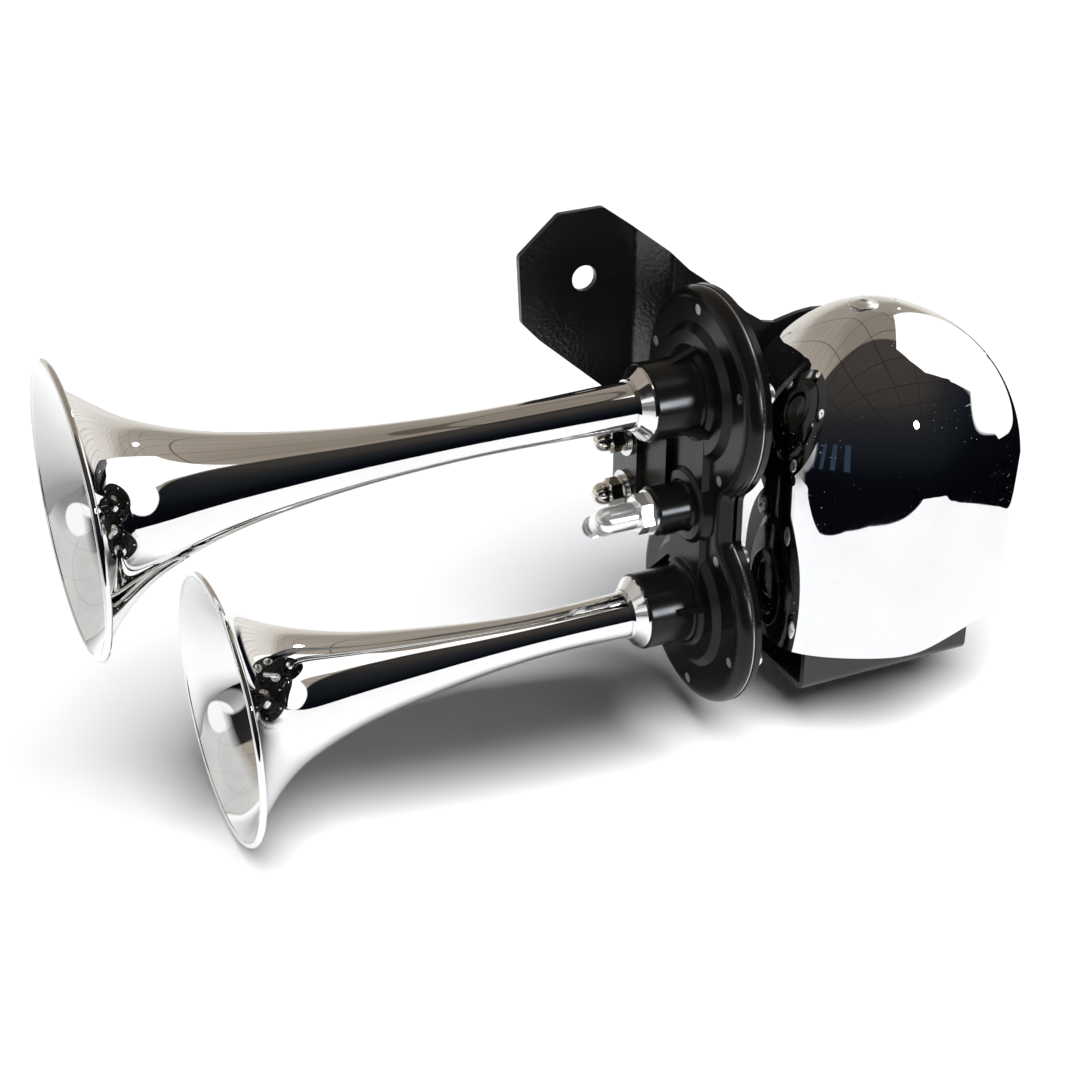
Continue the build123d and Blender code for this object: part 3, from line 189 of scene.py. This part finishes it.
def paint(name, col, rough, grain_scale, grain, coat=0.0, spec=0.5, vary=0.35, dust=0.0):
    m, t, b = new_mat(name)
    c = coords(t)
    n1 = noise(t, 18, 5, 0.6, c)
    lo = tuple(v * (1 - vary) for v in col)
    hi = tuple(v * (1 + vary) for v in col)
    base = mix_col(t, remap(t, n1, 0.3, 0.7, 0, 1), lo, hi)
    if dust:
        specks = t.nodes.new("ShaderNodeTexVoronoi")
        specks.inputs["Scale"].default_value = 500
        t.links.new(c, specks.inputs["Vector"])
        d = math_node(t, "MULTIPLY", remap(t, specks.outputs["Distance"], 0.05, 0.12, 1, 0),
                      remap(t, specks.outputs["Color"], 0.78, 0.8, 0, 1), True)
        base = mix_col(t, math_node(t, "MULTIPLY", d, dust), base, (0.35, 0.36, 0.38))
    t.links.new(base, b.inputs["Base Color"])
    n2 = noise(t, 120, 4, 0.6, c)
    t.links.new(remap(t, n2, 0.3, 0.7, rough * 0.88, rough * 1.12), b.inputs["Roughness"])
    b.inputs["Coat Weight"].default_value = coat
    b.inputs["Coat Roughness"].default_value = 0.12
    b.inputs["Specular IOR Level"].default_value = spec
    b.inputs["Metallic"].default_value = 0.0
    bump(t, b, noise(t, grain_scale, 3, 0.55, c), 1.0, grain)
    return m


def metal(name, col, rough, brush=None, vary=0.12, grain=0.00001):
    m, t, b = new_mat(name)
    b.inputs["Metallic"].default_value = 1.0
    c = coords(t)
    n1 = noise(t, 260, 5, 0.6, c, brush)
    lo = tuple(v * (1 - vary) for v in col)
    hi = tuple(min(v * (1 + vary), 1) for v in col)
    t.links.new(mix_col(t, n1, lo, hi), b.inputs["Base Color"])
    t.links.new(remap(t, n1, 0.3, 0.7, rough * 0.8, rough * 1.25), b.inputs["Roughness"])
    bump(t, b, noise(t, 700, 3, 0.5, c, brush), 0.6, grain)
    return m


def soft_plain(name, col, rough, scale, depth, sheen=0.0):
    m, t, b = new_mat(name)
    c = coords(t)
    n1 = noise(t, scale, 5, 0.6, c)
    t.links.new(mix_col(t, n1, tuple(v * 0.6 for v in col), tuple(v * 1.4 for v in col)),
                b.inputs["Base Color"])
    t.links.new(remap(t, n1, 0.3, 0.7, rough * 0.9, min(rough * 1.1, 1)), b.inputs["Roughness"])
    b.inputs["Sheen Weight"].default_value = sheen
    bump(t, b, n1, 1.0, depth)
    return m


M = {
    "trumpet_chrome": chrome("trumpet_chrome", (0.87, 0.865, 0.855), (0.012, 0.03), dust=0.0),
    "nut_chrome": chrome("nut_chrome", (0.85, 0.85, 0.845), (0.03, 0.08)),
    "cover_chrome": chrome("cover_chrome", (0.87, 0.87, 0.87), (0.010, 0.025), dust=0.9),
    "capnut_chrome": chrome("capnut_chrome", (0.88, 0.84, 0.77), (0.05, 0.12), wave=0.00002),
    "elbow_nickel": chrome("elbow_nickel", (0.95, 0.95, 0.94), (0.16, 0.30), wave=0.00006),
    "casting_black": paint("casting_black", (0.0038, 0.0035, 0.0034), 0.22, 420, 0.000006,
                           spec=0.24, vary=0.2),
    "rear_black": paint("rear_black", (0.0035, 0.0035, 0.0038), 0.15, 420, 0.000004, spec=0.35,
                        vary=0.2),
    "powder_black": paint("powder_black", (0.0040, 0.0042, 0.0048), 0.25, 620, 0.00020, spec=0.6,
                          vary=0.2),
    "strap_black": paint("strap_black", (0.005, 0.005, 0.0055), 0.36, 600, 0.00003, vary=0.2),
    "can_zinc": paint("can_zinc", (0.02, 0.02, 0.022), 0.35, 500, 0.00002),
    "fibre": soft_plain("fibre", (0.10, 0.05, 0.03), 0.7, 700, 0.00003),
    "gasket_rubber": soft_plain("gasket_rubber", (0.02, 0.02, 0.02), 0.7, 600, 0.00002),
    "rubber": soft_plain("rubber", (0.018, 0.018, 0.018), 0.6, 300, 0.00003),
    "foam": soft_plain("foam", (0.04, 0.04, 0.04), 0.95, 1500, 0.0003, 0.3),
    "plastic_black": soft_plain("plastic_black", (0.018, 0.018, 0.018), 0.45, 900, 0.00002),
    "plastic_brown": soft_plain("plastic_brown", (0.10, 0.05, 0.025), 0.5, 300, 0.00002),
    "graphite": soft_plain("graphite", (0.03, 0.03, 0.032), 0.4, 500, 0.00001),
    "ferrite": soft_plain("ferrite", (0.05, 0.05, 0.052), 0.6, 400, 0.00003),
    "spring_steel": metal("spring_steel", (0.55, 0.55, 0.56), 0.25, (1, 8, 1)),
    "zinc_screw": metal("zinc_screw", (0.90, 0.90, 0.88), 0.30),
    "zinc_washer": metal("zinc_washer", (0.74, 0.74, 0.72), 0.2),
    "zinc_stud": metal("zinc_stud", (0.88, 0.88, 0.86), 0.30),
    "terminal_brass": metal("terminal_brass", (0.75, 0.6, 0.32), 0.25),
    "bronze": metal("bronze", (0.55, 0.40, 0.22), 0.4),
    "shaft_steel": metal("shaft_steel", (0.6, 0.6, 0.61), 0.15, (1, 1, 10)),
    "core_steel": metal("core_steel", (0.3, 0.3, 0.31), 0.45, (1, 1, 60)),
    "copper": metal("copper", (0.66, 0.3, 0.15), 0.35, (1, 1, 20)),
    "pump_aluminium": metal("pump_aluminium", (0.56, 0.56, 0.57), 0.42),
    "nipple_brass": metal("nipple_brass", (0.72, 0.56, 0.3), 0.2),
}
# a cast fitting is part satin: some of its light is scattered
M["elbow_nickel"].node_tree.nodes["Principled BSDF"].inputs["Metallic"].default_value = 0.88

SLOT = {s["node"]: s["material_slot"] for s in frame["record"]["subparts"]}
for name, o in N.items():
    mat = M[SLOT[name]]
    if not o.material_slots:
        o.data.materials.append(mat)
    for ms in o.material_slots:
        ms.material = mat


# ------------------------------------------------------------------ mesh helpers
def make_mesh(name, verts, faces, slot_name, body="housing", smooth=30.0):
    me = bpy.data.meshes.new(name)
    me.from_pydata([tuple(v) for v in verts], [], faces)
    me.validate()
    me.update()
    o = bpy.data.objects.new(name, me)
    scene.collection.objects.link(o)
    me.polygons.foreach_set("use_smooth", [True] * len(me.polygons))
    me.set_sharp_from_angle(angle=math.radians(smooth))
    me.materials.append(M[slot_name])
    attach(o, body)
    return o


def spline(points, start, end, step):
    """Clamped cubic through (a, r) points, by chord length, resampled every step mm."""
    p = np.array(points, float)
    t = np.r_[0, np.cumsum(np.hypot(*np.diff(p, axis=0).T))]
    n = len(t)
    h = np.diff(t)
    out = []
    for k, (d0, d1) in enumerate(zip(start, end)):
        A = np.zeros((n, n))
        R = np.zeros(n)
        y = p[:, k]
        A[0, 0], A[0, 1] = 2 * h[0], h[0]
        R[0] = 6 * ((y[1] - y[0]) / h[0] - d0)
        A[-1, -1], A[-1, -2] = 2 * h[-1], h[-1]
        R[-1] = 6 * (d1 - (y[-1] - y[-2]) / h[-1])
        for i in range(1, n - 1):
            A[i, i - 1], A[i, i], A[i, i + 1] = h[i - 1], 2 * (h[i - 1] + h[i]), h[i]
            R[i] = 6 * ((y[i + 1] - y[i]) / h[i] - (y[i] - y[i - 1]) / h[i - 1])
        m = np.linalg.solve(A, R)
        s = np.linspace(0, t[-1], int(t[-1] / step) + 2)
        i = np.clip(np.searchsorted(t, s, side="right") - 1, 0, n - 2)
        hh = h[i]
        u, w = t[i + 1] - s, s - t[i]
        out.append(m[i] * u ** 3 / (6 * hh) + m[i + 1] * w ** 3 / (6 * hh)
                   + (y[i] / hh - m[i] * hh / 6) * u + (y[i + 1] / hh - m[i + 1] * hh / 6) * w)
    return np.column_stack(out)


def inside_of(points, t):
    out = []
    for i, (a, r) in enumerate(points):
        a0, r0 = points[max(i - 1, 0)]
        a1, r1 = points[min(i + 1, len(points) - 1)]
        da, dr = a1 - a0, r1 - r0
        n = math.hypot(da, dr)
        out.append((a - abs(dr) / n * t, r - abs(da) / n * t))
    return out


def lathe(name, loop, b, h, slot_name, turns=256, smooth=35.0):
    """Closed loop of (a, r) turned about the axis through (b, h), parallel to X."""
    loop = np.asarray(loop, float)
    k = len(loop)
    v, f = [], []
    for i in range(turns):
        q = 2 * math.pi * i / turns
        for a, r in loop:
            v.append(((X0 + a) / 1000, (TY + b + r * math.cos(q)) / 1000,
                      (UZ - h + r * math.sin(q)) / 1000))
    for i in range(turns):
        j = (i + 1) % turns
        for n in range(k):
            m = (n + 1) % k
            f.append((i * k + n, j * k + n, j * k + m, i * k + m))
    # faces outwards whichever way the loop runs
    x, y = loop[:, 0], loop[:, 1]
    area = 0.5 * float(np.sum(x * np.roll(y, -1) - np.roll(x, -1) * y))
    if area > 0:
        f = [q[::-1] for q in f]
    return make_mesh(name, v, f, slot_name, smooth=smooth)


# ------------------------------------------------------------------ trumpets
LONG_HORN = [(0, 9.0), (-21, 8.7), (-43, 8.4), (-65, 8.5), (-85, 9.3), (-106, 10.7),
             (-126, 12.9), (-146, 15.9), (-165, 20.4), (-177, 24.6), (-185, 28.4),
             (-192, 33.2), (-200, 40.4), (-205, 46.2), (-207.3, 49.4)]
SHORT_HORN = [(0, 9.0), (-14, 8.7), (-30, 8.6), (-46, 9.2), (-62, 10.5), (-82, 12.9),
              (-102, 15.9), (-121, 20.4), (-133, 24.6), (-141, 28.4),
              (-148, 33.2), (-156, 40.4), (-161, 46.2), (-163.2, 49.4)]


def trumpet(name, horn, rim_a, h):
    bead = 1.25
    centre = np.array((rim_a + bead, 51.3 - bead))
    e = (-0.55 / math.hypot(0.55, 0.83), 0.83 / math.hypot(0.55, 0.83))
    outer = spline(horn, (-1, 0), e, 1.6)
    inner = spline(inside_of(horn, 0.9), (-1, 0), e, 1.6)

    def trim(c):
        d = np.hypot(*(c - centre).T)
        last = int(np.argmax(d < bead)) if (d < bead).any() else len(c)
        p, q = c[last - 1], c[min(last, len(c) - 1)]
        for s in np.linspace(0, 1, 60):
            x = p + (q - p) * s
            if np.hypot(*(x - centre)) <= bead:
                break
        return c[:last], math.atan2(*(x - centre)[::-1])

    outer, t0 = trim(outer)
    inner, t1 = trim(inner)
    while t1 < t0:
        t1 += 2 * math.pi
    arc = [centre + bead * np.array((math.cos(q), math.sin(q))) for q in np.linspace(t0, t1, 26)]
    loop = [(16.0, 9.0)] + [(a, 9.0) for a in (12.0, 8.0, 4.0)] + list(outer) + arc
    loop += list(inner[::-1]) + [(a, 8.1) for a in (4.0, 8.0, 12.0)]
    loop += [(17.5, 8.1), (17.5, 10.8), (16.0, 10.8)]
    o = lathe(name + "_skin", loop, 0.0, h, "trumpet_chrome")
    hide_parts(name)
    return o


trumpet("long_trumpet", LONG_HORN, -208.8, 0.0)
trumpet("short_trumpet", SHORT_HORN, -164.7, 89.5)

# ------------------------------------------------------------------ cover
CA, CB = 103.0, -4.45
DOME_TOP, DOME_BASE = -25.1, 34.9
ROUND = 1.965
BACK_B, RIM_H, COVER_T = 40.0, 103.0, 1.2
SIDES = ((178, 46.6, 0.035, 1.63), (226, 45.6, 0.13, 1.63), (249, 45.2, 0.085, 1.63),
         (289, 48.4, -0.008, 1.63), (355, 58.0, -0.03, 2.25), (35, 60.0, 0.0, 2.1),
         (90, 60.0, 0.0, 1.8), (145, 55.0, 0.0, 1.63))


def radius(f, h, t, top):
    k = min(max((DOME_BASE - h) / (DOME_BASE - top), 0.0), 1.0)
    p = 14.0 + (3.0 - 14.0) * k ** 0.7
    low = max(h - DOME_BASE, 0.0)
    total = 0.0
    for turn, d, flare, rise in SIDES:
        s = max(1.0 - k ** rise, 0.0) ** (1.0 / ROUND)
        reach = max((d - t) * s + flare * low, 1e-6)
        total += max(math.cos(f - math.radians(turn)) / reach, 0.0) ** p
    return total ** (-1.0 / p)


def cover():
    """The open-backed bell: each level runs from the rear edge round the front to the rear edge."""
    n = 260
    hs_dome = [DOME_BASE - (DOME_BASE + 24.0) * math.sin(q) for q in
               np.linspace(0, math.pi / 2, 70)]
    hs = list(np.linspace(RIM_H, DOME_BASE, 36))[:-1] + hs_dome

    def curve(h, t, top):
        """Points with b < BACK_B, with both ends exactly on the rear plane where they reach it."""
        lo, hi = math.radians(90), math.radians(450)

        def b_at(f):
            return CB + radius(f, h, t, top) * math.sin(f)

        if b_at(math.radians(90)) <= BACK_B:
            fs = np.linspace(lo, hi, n)
        else:
            ends = []
            for a0, a1 in ((90, 200), (450, 340)):
                x0, x1 = math.radians(a0), math.radians(a1)
                for _ in range(40):
                    xm = (x0 + x1) / 2
                    if b_at(xm) > BACK_B:
                        x0 = xm
                    else:
                        x1 = xm
                ends.append(x1)
            fs = np.linspace(ends[0], ends[1], n)
        return [(CA + radius(f, h, t, top) * math.cos(f), CB + radius(f, h, t, top) * math.sin(f))
                for f in fs]

    v, f = [], []
    rows_o, rows_i = [], []
    for h in hs:
        rows_o.append([len(v) + i for i in range(n)])
        v += [tuple(mm(a, b, h)) for a, b in curve(h, 0.0, DOME_TOP)]
    for h in hs:
        hi_ = h if h > DOME_BASE else DOME_BASE - (DOME_BASE - h) * (DOME_BASE + 22.8) / (DOME_BASE + 24.0)
        rows_i.append([len(v) + i for i in range(n)])
        v += [tuple(mm(a, b, hi_)) for a, b in curve(hi_, COVER_T, DOME_TOP + COVER_T)]
    for rows, flip in ((rows_o, False), (rows_i, True)):
        for r0, r1 in zip(rows, rows[1:]):
            for i in range(n - 1):
                q = (r0[i], r0[i + 1], r1[i + 1], r1[i])
                f.append(q[::-1] if flip else q)
    # rim, rear edges and the crown's flat
    for i in range(n - 1):
        f.append((rows_o[0][i + 1], rows_o[0][i], rows_i[0][i], rows_i[0][i + 1]))
    for e in (0, n - 1):
        for j in range(len(hs) - 1):
            q = (rows_o[j][e], rows_o[j + 1][e], rows_i[j + 1][e], rows_i[j][e])
            f.append(q if e == 0 else q[::-1])
    f.append(tuple(rows_o[-1]))
    f.append(tuple(rows_i[-1][::-1]))
    o = make_mesh("chrome_cover_skin", v, f, "cover_chrome", smooth=40.0)
    w = o.modifiers.new("weld", "WELD")
    w.merge_threshold = 0.00001
    dg = bpy.context.evaluated_depsgraph_get()
    me = bpy.data.meshes.new_from_object(o.evaluated_get(dg))
    o.modifiers.clear()
    o.data = me
    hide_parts("chrome_cover")
    return o


cover()

# ------------------------------------------------------------------ floor
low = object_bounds()[0].z - 0.004


def sheet(name, outline, z, mat):
    me = bpy.data.meshes.new(name)
    me.from_pydata([(x, y, z) for x, y in outline], [], [tuple(range(len(outline)))])
    o = bpy.data.objects.new(name, me)
    me.materials.append(mat)
    scene.collection.objects.link(o)
    return o


fm, ft, fb = new_mat("paper")
fn = noise(ft, 3, 3, 0.5)
fs = ft.nodes.new("ShaderNodeSeparateXYZ")
ft.links.new(coords(ft), fs.inputs[0])
# painted shade: the near paper's colour falls from near white round the object to dark grey far to the
# left (-X), and a little darker again towards +X, standing in for light falling off; the grain mixed in
# below is the paper's own
painted_falloff = ramp(ft, remap(ft, fs.outputs["X"], -1.40, 0.40, 0, 1),
            [(0.0, (0.26, 0.26, 0.26)), (0.31, (0.30, 0.30, 0.30)), (0.42, (0.42, 0.42, 0.42)),
             (0.50, (0.56, 0.56, 0.565)), (0.56, (0.68, 0.685, 0.69)), (0.61, (0.86, 0.87, 0.885)),
             (0.80, (0.875, 0.885, 0.90)), (1.0, (0.83, 0.835, 0.845))])
vein = mix_col(ft, remap(ft, fn, 0.3, 0.7, 0, 1), (0.965, 0.965, 0.968), (1.0, 1.0, 1.0))
mul = ft.nodes.new("ShaderNodeMix")
mul.data_type = "RGBA"
mul.blend_type = "MULTIPLY"
mul.inputs[0].default_value = 1.0
ft.links.new(painted_falloff, mul.inputs[6])
ft.links.new(vein, mul.inputs[7])
ft.links.new(mul.outputs[2], fb.inputs["Base Color"])
fb.inputs["Roughness"].default_value = 0.9
fb.inputs["Specular IOR Level"].default_value = 0.1
near = sheet("paper_near", [(-1.40, -0.29), (-0.33, -0.300), (-0.22, -0.330), (-0.135, -0.385),
                            (-0.06, -0.408), (0.013, -0.414), (0.07, -0.420), (0.13, -0.424),
                            (0.20, -0.390), (0.265, -0.310), (0.300, -0.205), (0.316, -0.125),
                            (0.38, 1.2), (-1.40, 1.2)], low, fm)
fm2, ft2, fb2 = new_mat("paper_far")
ft2.links.new(mix_col(ft2, noise(ft2, 3, 3, 0.5), (0.87, 0.87, 0.87), (0.89, 0.89, 0.89)),
              fb2.inputs["Base Color"])
fb2.inputs["Roughness"].default_value = 0.9
fb2.inputs["Specular IOR Level"].default_value = 0.1
far = sheet("paper_far", [(-30, -30), (30, -30), (30, 30), (-30, 30)], low - 0.001, fm2)
far.visible_glossy = False

# a flag just over the paper: it shows in nothing and only deepens the soft shadow
SUN = Vector((0.14, 0.56, -1.0))
flag_up = 0.05
flag = sheet("shadow_flag", [(x - SUN.x * flag_up, y - SUN.y * flag_up) for x, y in (
    (-0.180, -0.026), (-0.160, -0.052), (-0.100, -0.060), (-0.054, -0.065), (0.0, -0.067),
    (0.014, -0.062), (0.016, -0.03), (0.0, 0.010), (-0.05, 0.020), (-0.10, 0.018),
    (-0.150, 0.004))],
    low + flag_up, fm2)
flag.visible_camera = False
flag.visible_glossy = False
flag.visible_diffuse = False
flag.visible_transmission = False

# ------------------------------------------------------------------ the studio round the object
world = bpy.data.worlds.new("studio")
scene.world = world
world.use_nodes = True
t = world.node_tree
t.nodes.clear()
out = t.nodes.new("ShaderNodeOutputWorld")
tc = t.nodes.new("ShaderNodeTexCoord").outputs["Generated"]
sep = t.nodes.new("ShaderNodeSeparateXYZ")
t.links.new(tc, sep.inputs[0])
ZD = sep.outputs["Z"]


def dot(vec):
    n = t.nodes.new("ShaderNodeVectorMath")
    n.operation = "DOT_PRODUCT"
    t.links.new(tc, n.inputs[0])
    n.inputs[1].default_value = vec
    return n.outputs["Value"]


def by_height(stops):
    """A colour by the direction's height: stops are (sine of the elevation, colour)."""
    return ramp(t, remap(t, ZD, -1, 1, 0, 1), [((z + 1) / 2, c) for z, c in stops])


# warm ceiling with panel joints
zz = math_node(t, "MAXIMUM", ZD, 0.10)
gx = math_node(t, "DIVIDE", sep.outputs["X"], zz)
gy = math_node(t, "DIVIDE", sep.outputs["Y"], zz)


def joints(v, pitch, width, shift):
    w = math_node(t, "FRACT", math_node(t, "ADD", math_node(t, "DIVIDE", v, pitch), shift))
    return math_node(t, "LESS_THAN", w, width)


lines = math_node(t, "MAXIMUM", joints(gx, 0.55, 0.03, 0.21), joints(gy, 0.42, 0.035, 0.37))
blot = noise(t, 1.7, 2, 0.5, tc)
warm = by_height([(-0.25, (0.90, 0.885, 0.86)), (0.02, (0.93, 0.90, 0.85)),
                  (0.20, (0.82, 0.78, 0.715)), (0.31, (0.47, 0.425, 0.37)),
                  (0.70, (0.40, 0.35, 0.295)), (0.90, (0.29, 0.25, 0.205)),
                  (1.0, (0.27, 0.23, 0.19))])
warm = mix_col(t, remap(t, blot, 0.35, 0.65, 0, 0.35), warm, (0.22, 0.19, 0.16))
warm = mix_col(t, math_node(t, "MULTIPLY", lines, 0.7), warm, (0.05, 0.045, 0.04))
# the unlit room in front
dark = by_height([(-0.35, (0.0015, 0.0018, 0.003)), (-0.05, (0.003, 0.0038, 0.0065)),
                  (0.25, (0.011, 0.0135, 0.0175)), (0.45, (0.022, 0.022, 0.024)),
                  (0.62, (0.044, 0.039, 0.036)), (0.85, (0.058, 0.050, 0.044))])
dark = mix_col(t, math_node(t, "MULTIPLY", lines, 0.6), dark, (0.006, 0.006, 0.006))
front = remap(t, dot((-0.300, -0.928, -0.221)), -0.015, 0.015, 0, 1)
right_low = math_node(t, "MULTIPLY", remap(t, dot((0.94, -0.34, 0.0)), 0.42, 0.50, 0, 1),
                      remap(t, ZD, -0.07, -0.03, 1, 0))
front = math_node(t, "MAXIMUM", front, right_low)
room = mix_col(t, front, warm, dark)
# pale wall on the left, which only the bells look at
pale = mix_col(t, remap(t, noise(t, 2.2, 3, 0.5, tc), 0.3, 0.7, 0, 1), (0.60, 0.60, 0.60),
               (0.78, 0.78, 0.775))
gloom = remap(t, dot((-0.93, -0.28, -0.20)), 0.87, 0.95, 0, 1)
pale = mix_col(t, gloom, pale, (0.30, 0.30, 0.30))
ring = remap(t, dot((-0.975, -0.10, 0.15)), 0.976, 0.979, 0, 1)
pale = mix_col(t, ring, pale, (1.1, 1.1, 1.1))
seam = math_node(t, "MAXIMUM", joints(dot((-0.40, -0.90, 0.15)), 0.31, 0.012, 0.1),
                 joints(dot((-0.30, 0.2, 0.93)), 0.37, 0.012, 0.55))
pale = mix_col(t, math_node(t, "MULTIPLY", seam, 0.35), pale, (0.08, 0.08, 0.08))
left = remap(t, dot((-0.87, 0.40, -0.29)), 0.68, 0.75, 0, 1)
left = math_node(t, "MAXIMUM", left, remap(t, dot((-0.94, -0.32, 0.12)), 0.982, 0.99, 0, 1))
room = mix_col(t, left, room, pale)
# the end of the long lamp on the right, which only the flares look at
end = remap(t, dot((0.979, -0.181, 0.090)), 0.971, 0.975, 0, 1)
room = mix_col(t, end, room, (1.35, 1.35, 1.35))
# a dim window far to the front left, seen as four bluish strips
wx = dot((0.906, -0.423, 0.0))
wy = dot((-0.423, -0.906, 0.0))
strip = math_node(t, "LESS_THAN", math_node(t, "FRACT", math_node(t, "MULTIPLY", wx, 8.0)), 0.40)
inside_w = math_node(t, "LESS_THAN", math_node(t, "ABSOLUTE", math_node(t, "ADD", wx, 0.38)), 0.22)
inside_h = math_node(t, "LESS_THAN", math_node(t, "ABSOLUTE", math_node(t, "SUBTRACT", ZD, 0.13)), 0.13)
win = math_node(t, "MULTIPLY", math_node(t, "MULTIPLY", inside_w, inside_h),
                math_node(t, "GREATER_THAN", wy, 0.0))
win = math_node(t, "MULTIPLY", win, strip)
room = mix_col(t, math_node(t, "MULTIPLY", win, 0.85), room, (0.035, 0.055, 0.09))

lp = t.nodes.new("ShaderNodeLightPath")
bg_room = t.nodes.new("ShaderNodeBackground")
t.links.new(room, bg_room.inputs[0])
bg_cam = t.nodes.new("ShaderNodeBackground")
bg_cam.inputs[0].default_value = (1, 1, 1, 1)
bg_fill = t.nodes.new("ShaderNodeBackground")
bg_fill.inputs[0].default_value = (1, 1, 1, 1)
bg_fill.inputs[1].default_value = 0.022
m1 = t.nodes.new("ShaderNodeMixShader")
t.links.new(lp.outputs["Is Diffuse Ray"], m1.inputs[0])
t.links.new(bg_room.outputs[0], m1.inputs[1])
t.links.new(bg_fill.outputs[0], m1.inputs[2])
m2 = t.nodes.new("ShaderNodeMixShader")
t.links.new(lp.outputs["Is Camera Ray"], m2.inputs[0])
t.links.new(m1.outputs[0], m2.inputs[1])
t.links.new(bg_cam.outputs[0], m2.inputs[2])
t.links.new(m2.outputs[0], out.inputs[0])

# ------------------------------------------------------------------ lights
em = bpy.data.materials.new("softbox")
em.use_nodes = True
em.node_tree.nodes.clear()
e_out = em.node_tree.nodes.new("ShaderNodeOutputMaterial")
e_em = em.node_tree.nodes.new("ShaderNodeEmission")
e_em.inputs["Strength"].default_value = 1.35
em.node_tree.links.new(e_em.outputs[0], e_out.inputs[0])
me = bpy.data.meshes.new("softbox_right")
me.from_pydata([(0.170, -0.254, 0.380), (0.196, -0.248, 0.243), (0.224, -0.227, 0.148),
                (0.269, -0.176, 0.064), (0.293, -0.151, 0.007), (0.297, -0.159, -0.043),
                (0.308, -0.150, -0.081), (0.575, 0.290, -0.070), (0.343, 0.042, 0.420)], [],
               [(8, 0, 1), (8, 1, 2), (8, 2, 3), (8, 3, 4), (8, 4, 7), (4, 5, 6), (4, 6, 7)])
me.materials.append(em)
box = bpy.data.objects.new("softbox_right", me)
scene.collection.objects.link(box)
box.visible_camera = False
box.visible_diffuse = False
box.visible_shadow = False


def lamp(name, at, towards, distance, sx, sy, radiance, only=()):
    """A small round lamp, seen from a point of the object in the given direction. With only=,
    it is flagged off everything but those nodes."""
    d = Vector(towards).normalized()
    L = bpy.data.lights.new(name, "AREA")
    L.shape = "ELLIPSE"
    L.size, L.size_y = sx, sy
    L.energy = radiance * math.pi * math.pi / 4 * sx * sy
    o = bpy.data.objects.new(name, L)
    scene.collection.objects.link(o)
    o.location = Vector(at) + d * distance
    o.rotation_mode = "QUATERNION"
    o.rotation_quaternion = (-d).to_track_quat("-Z", "Y")
    o.visible_camera = False
    o.visible_diffuse = False
    if only:
        lit = bpy.data.collections.new(name + "_lit")
        for node in only:
            lit.objects.link(N[node])
        o.light_linking.receiver_collection = lit
    return o


lamp("glint_front", (0.0875, -0.0942, -0.0378), (0.098, -0.901, 0.423), 1.0, 0.09, 0.068, 30)
lamp("glint_bells", (-0.165, -0.065, -0.05), (0.745, 0.460, 0.480), 1.2, 0.085, 0.085, 18)
sheen = lamp("boss_sheen", (0.008, -0.066, -0.070), (0.436, -0.86, 0.14), 0.80, 0.13, 0.24, 42,
             only=("sound_unit_body", "inlet_elbow"))
sheen.data.color = (0.85, 0.93, 1.0)
lamp("band_sheen", (0.024, -0.0025, -0.0123), (-0.492, -0.795, -0.356), 0.35, 0.19, 0.19, 1.9,
     only=("bracket",))

sun = bpy.data.lights.new("overhead", "SUN")
sun.energy = 4.75
sun.angle = math.radians(42)
so = bpy.data.objects.new("overhead", sun)
scene.collection.objects.link(so)
so.rotation_mode = "QUATERNION"
so.rotation_quaternion = SUN.to_track_quat("-Z", "Y")
so.visible_glossy = False

# ------------------------------------------------------------------ camera
cam = bpy.data.cameras.new("camera")
cam.sensor_width = 36.0
cam.lens = 63.93
cam.clip_start, cam.clip_end = 0.01, 100
co = bpy.data.objects.new("camera", cam)
scene.collection.objects.link(co)
right = Vector((0.9088, -0.4174, 0.0)).normalized()
fwd = Vector((0.3684, 0.8022, -0.4699)).normalized()
up = right.cross(fwd)
co.matrix_world = Matrix(((right.x, up.x, -fwd.x, -0.3079), (right.y, up.y, -fwd.y, -0.6308),
                          (right.z, up.z, -fwd.z, 0.2585), (0, 0, 0, 1)))
scene.camera = co
scene.view_settings.view_transform = "Standard"
scene.view_settings.look = "None"
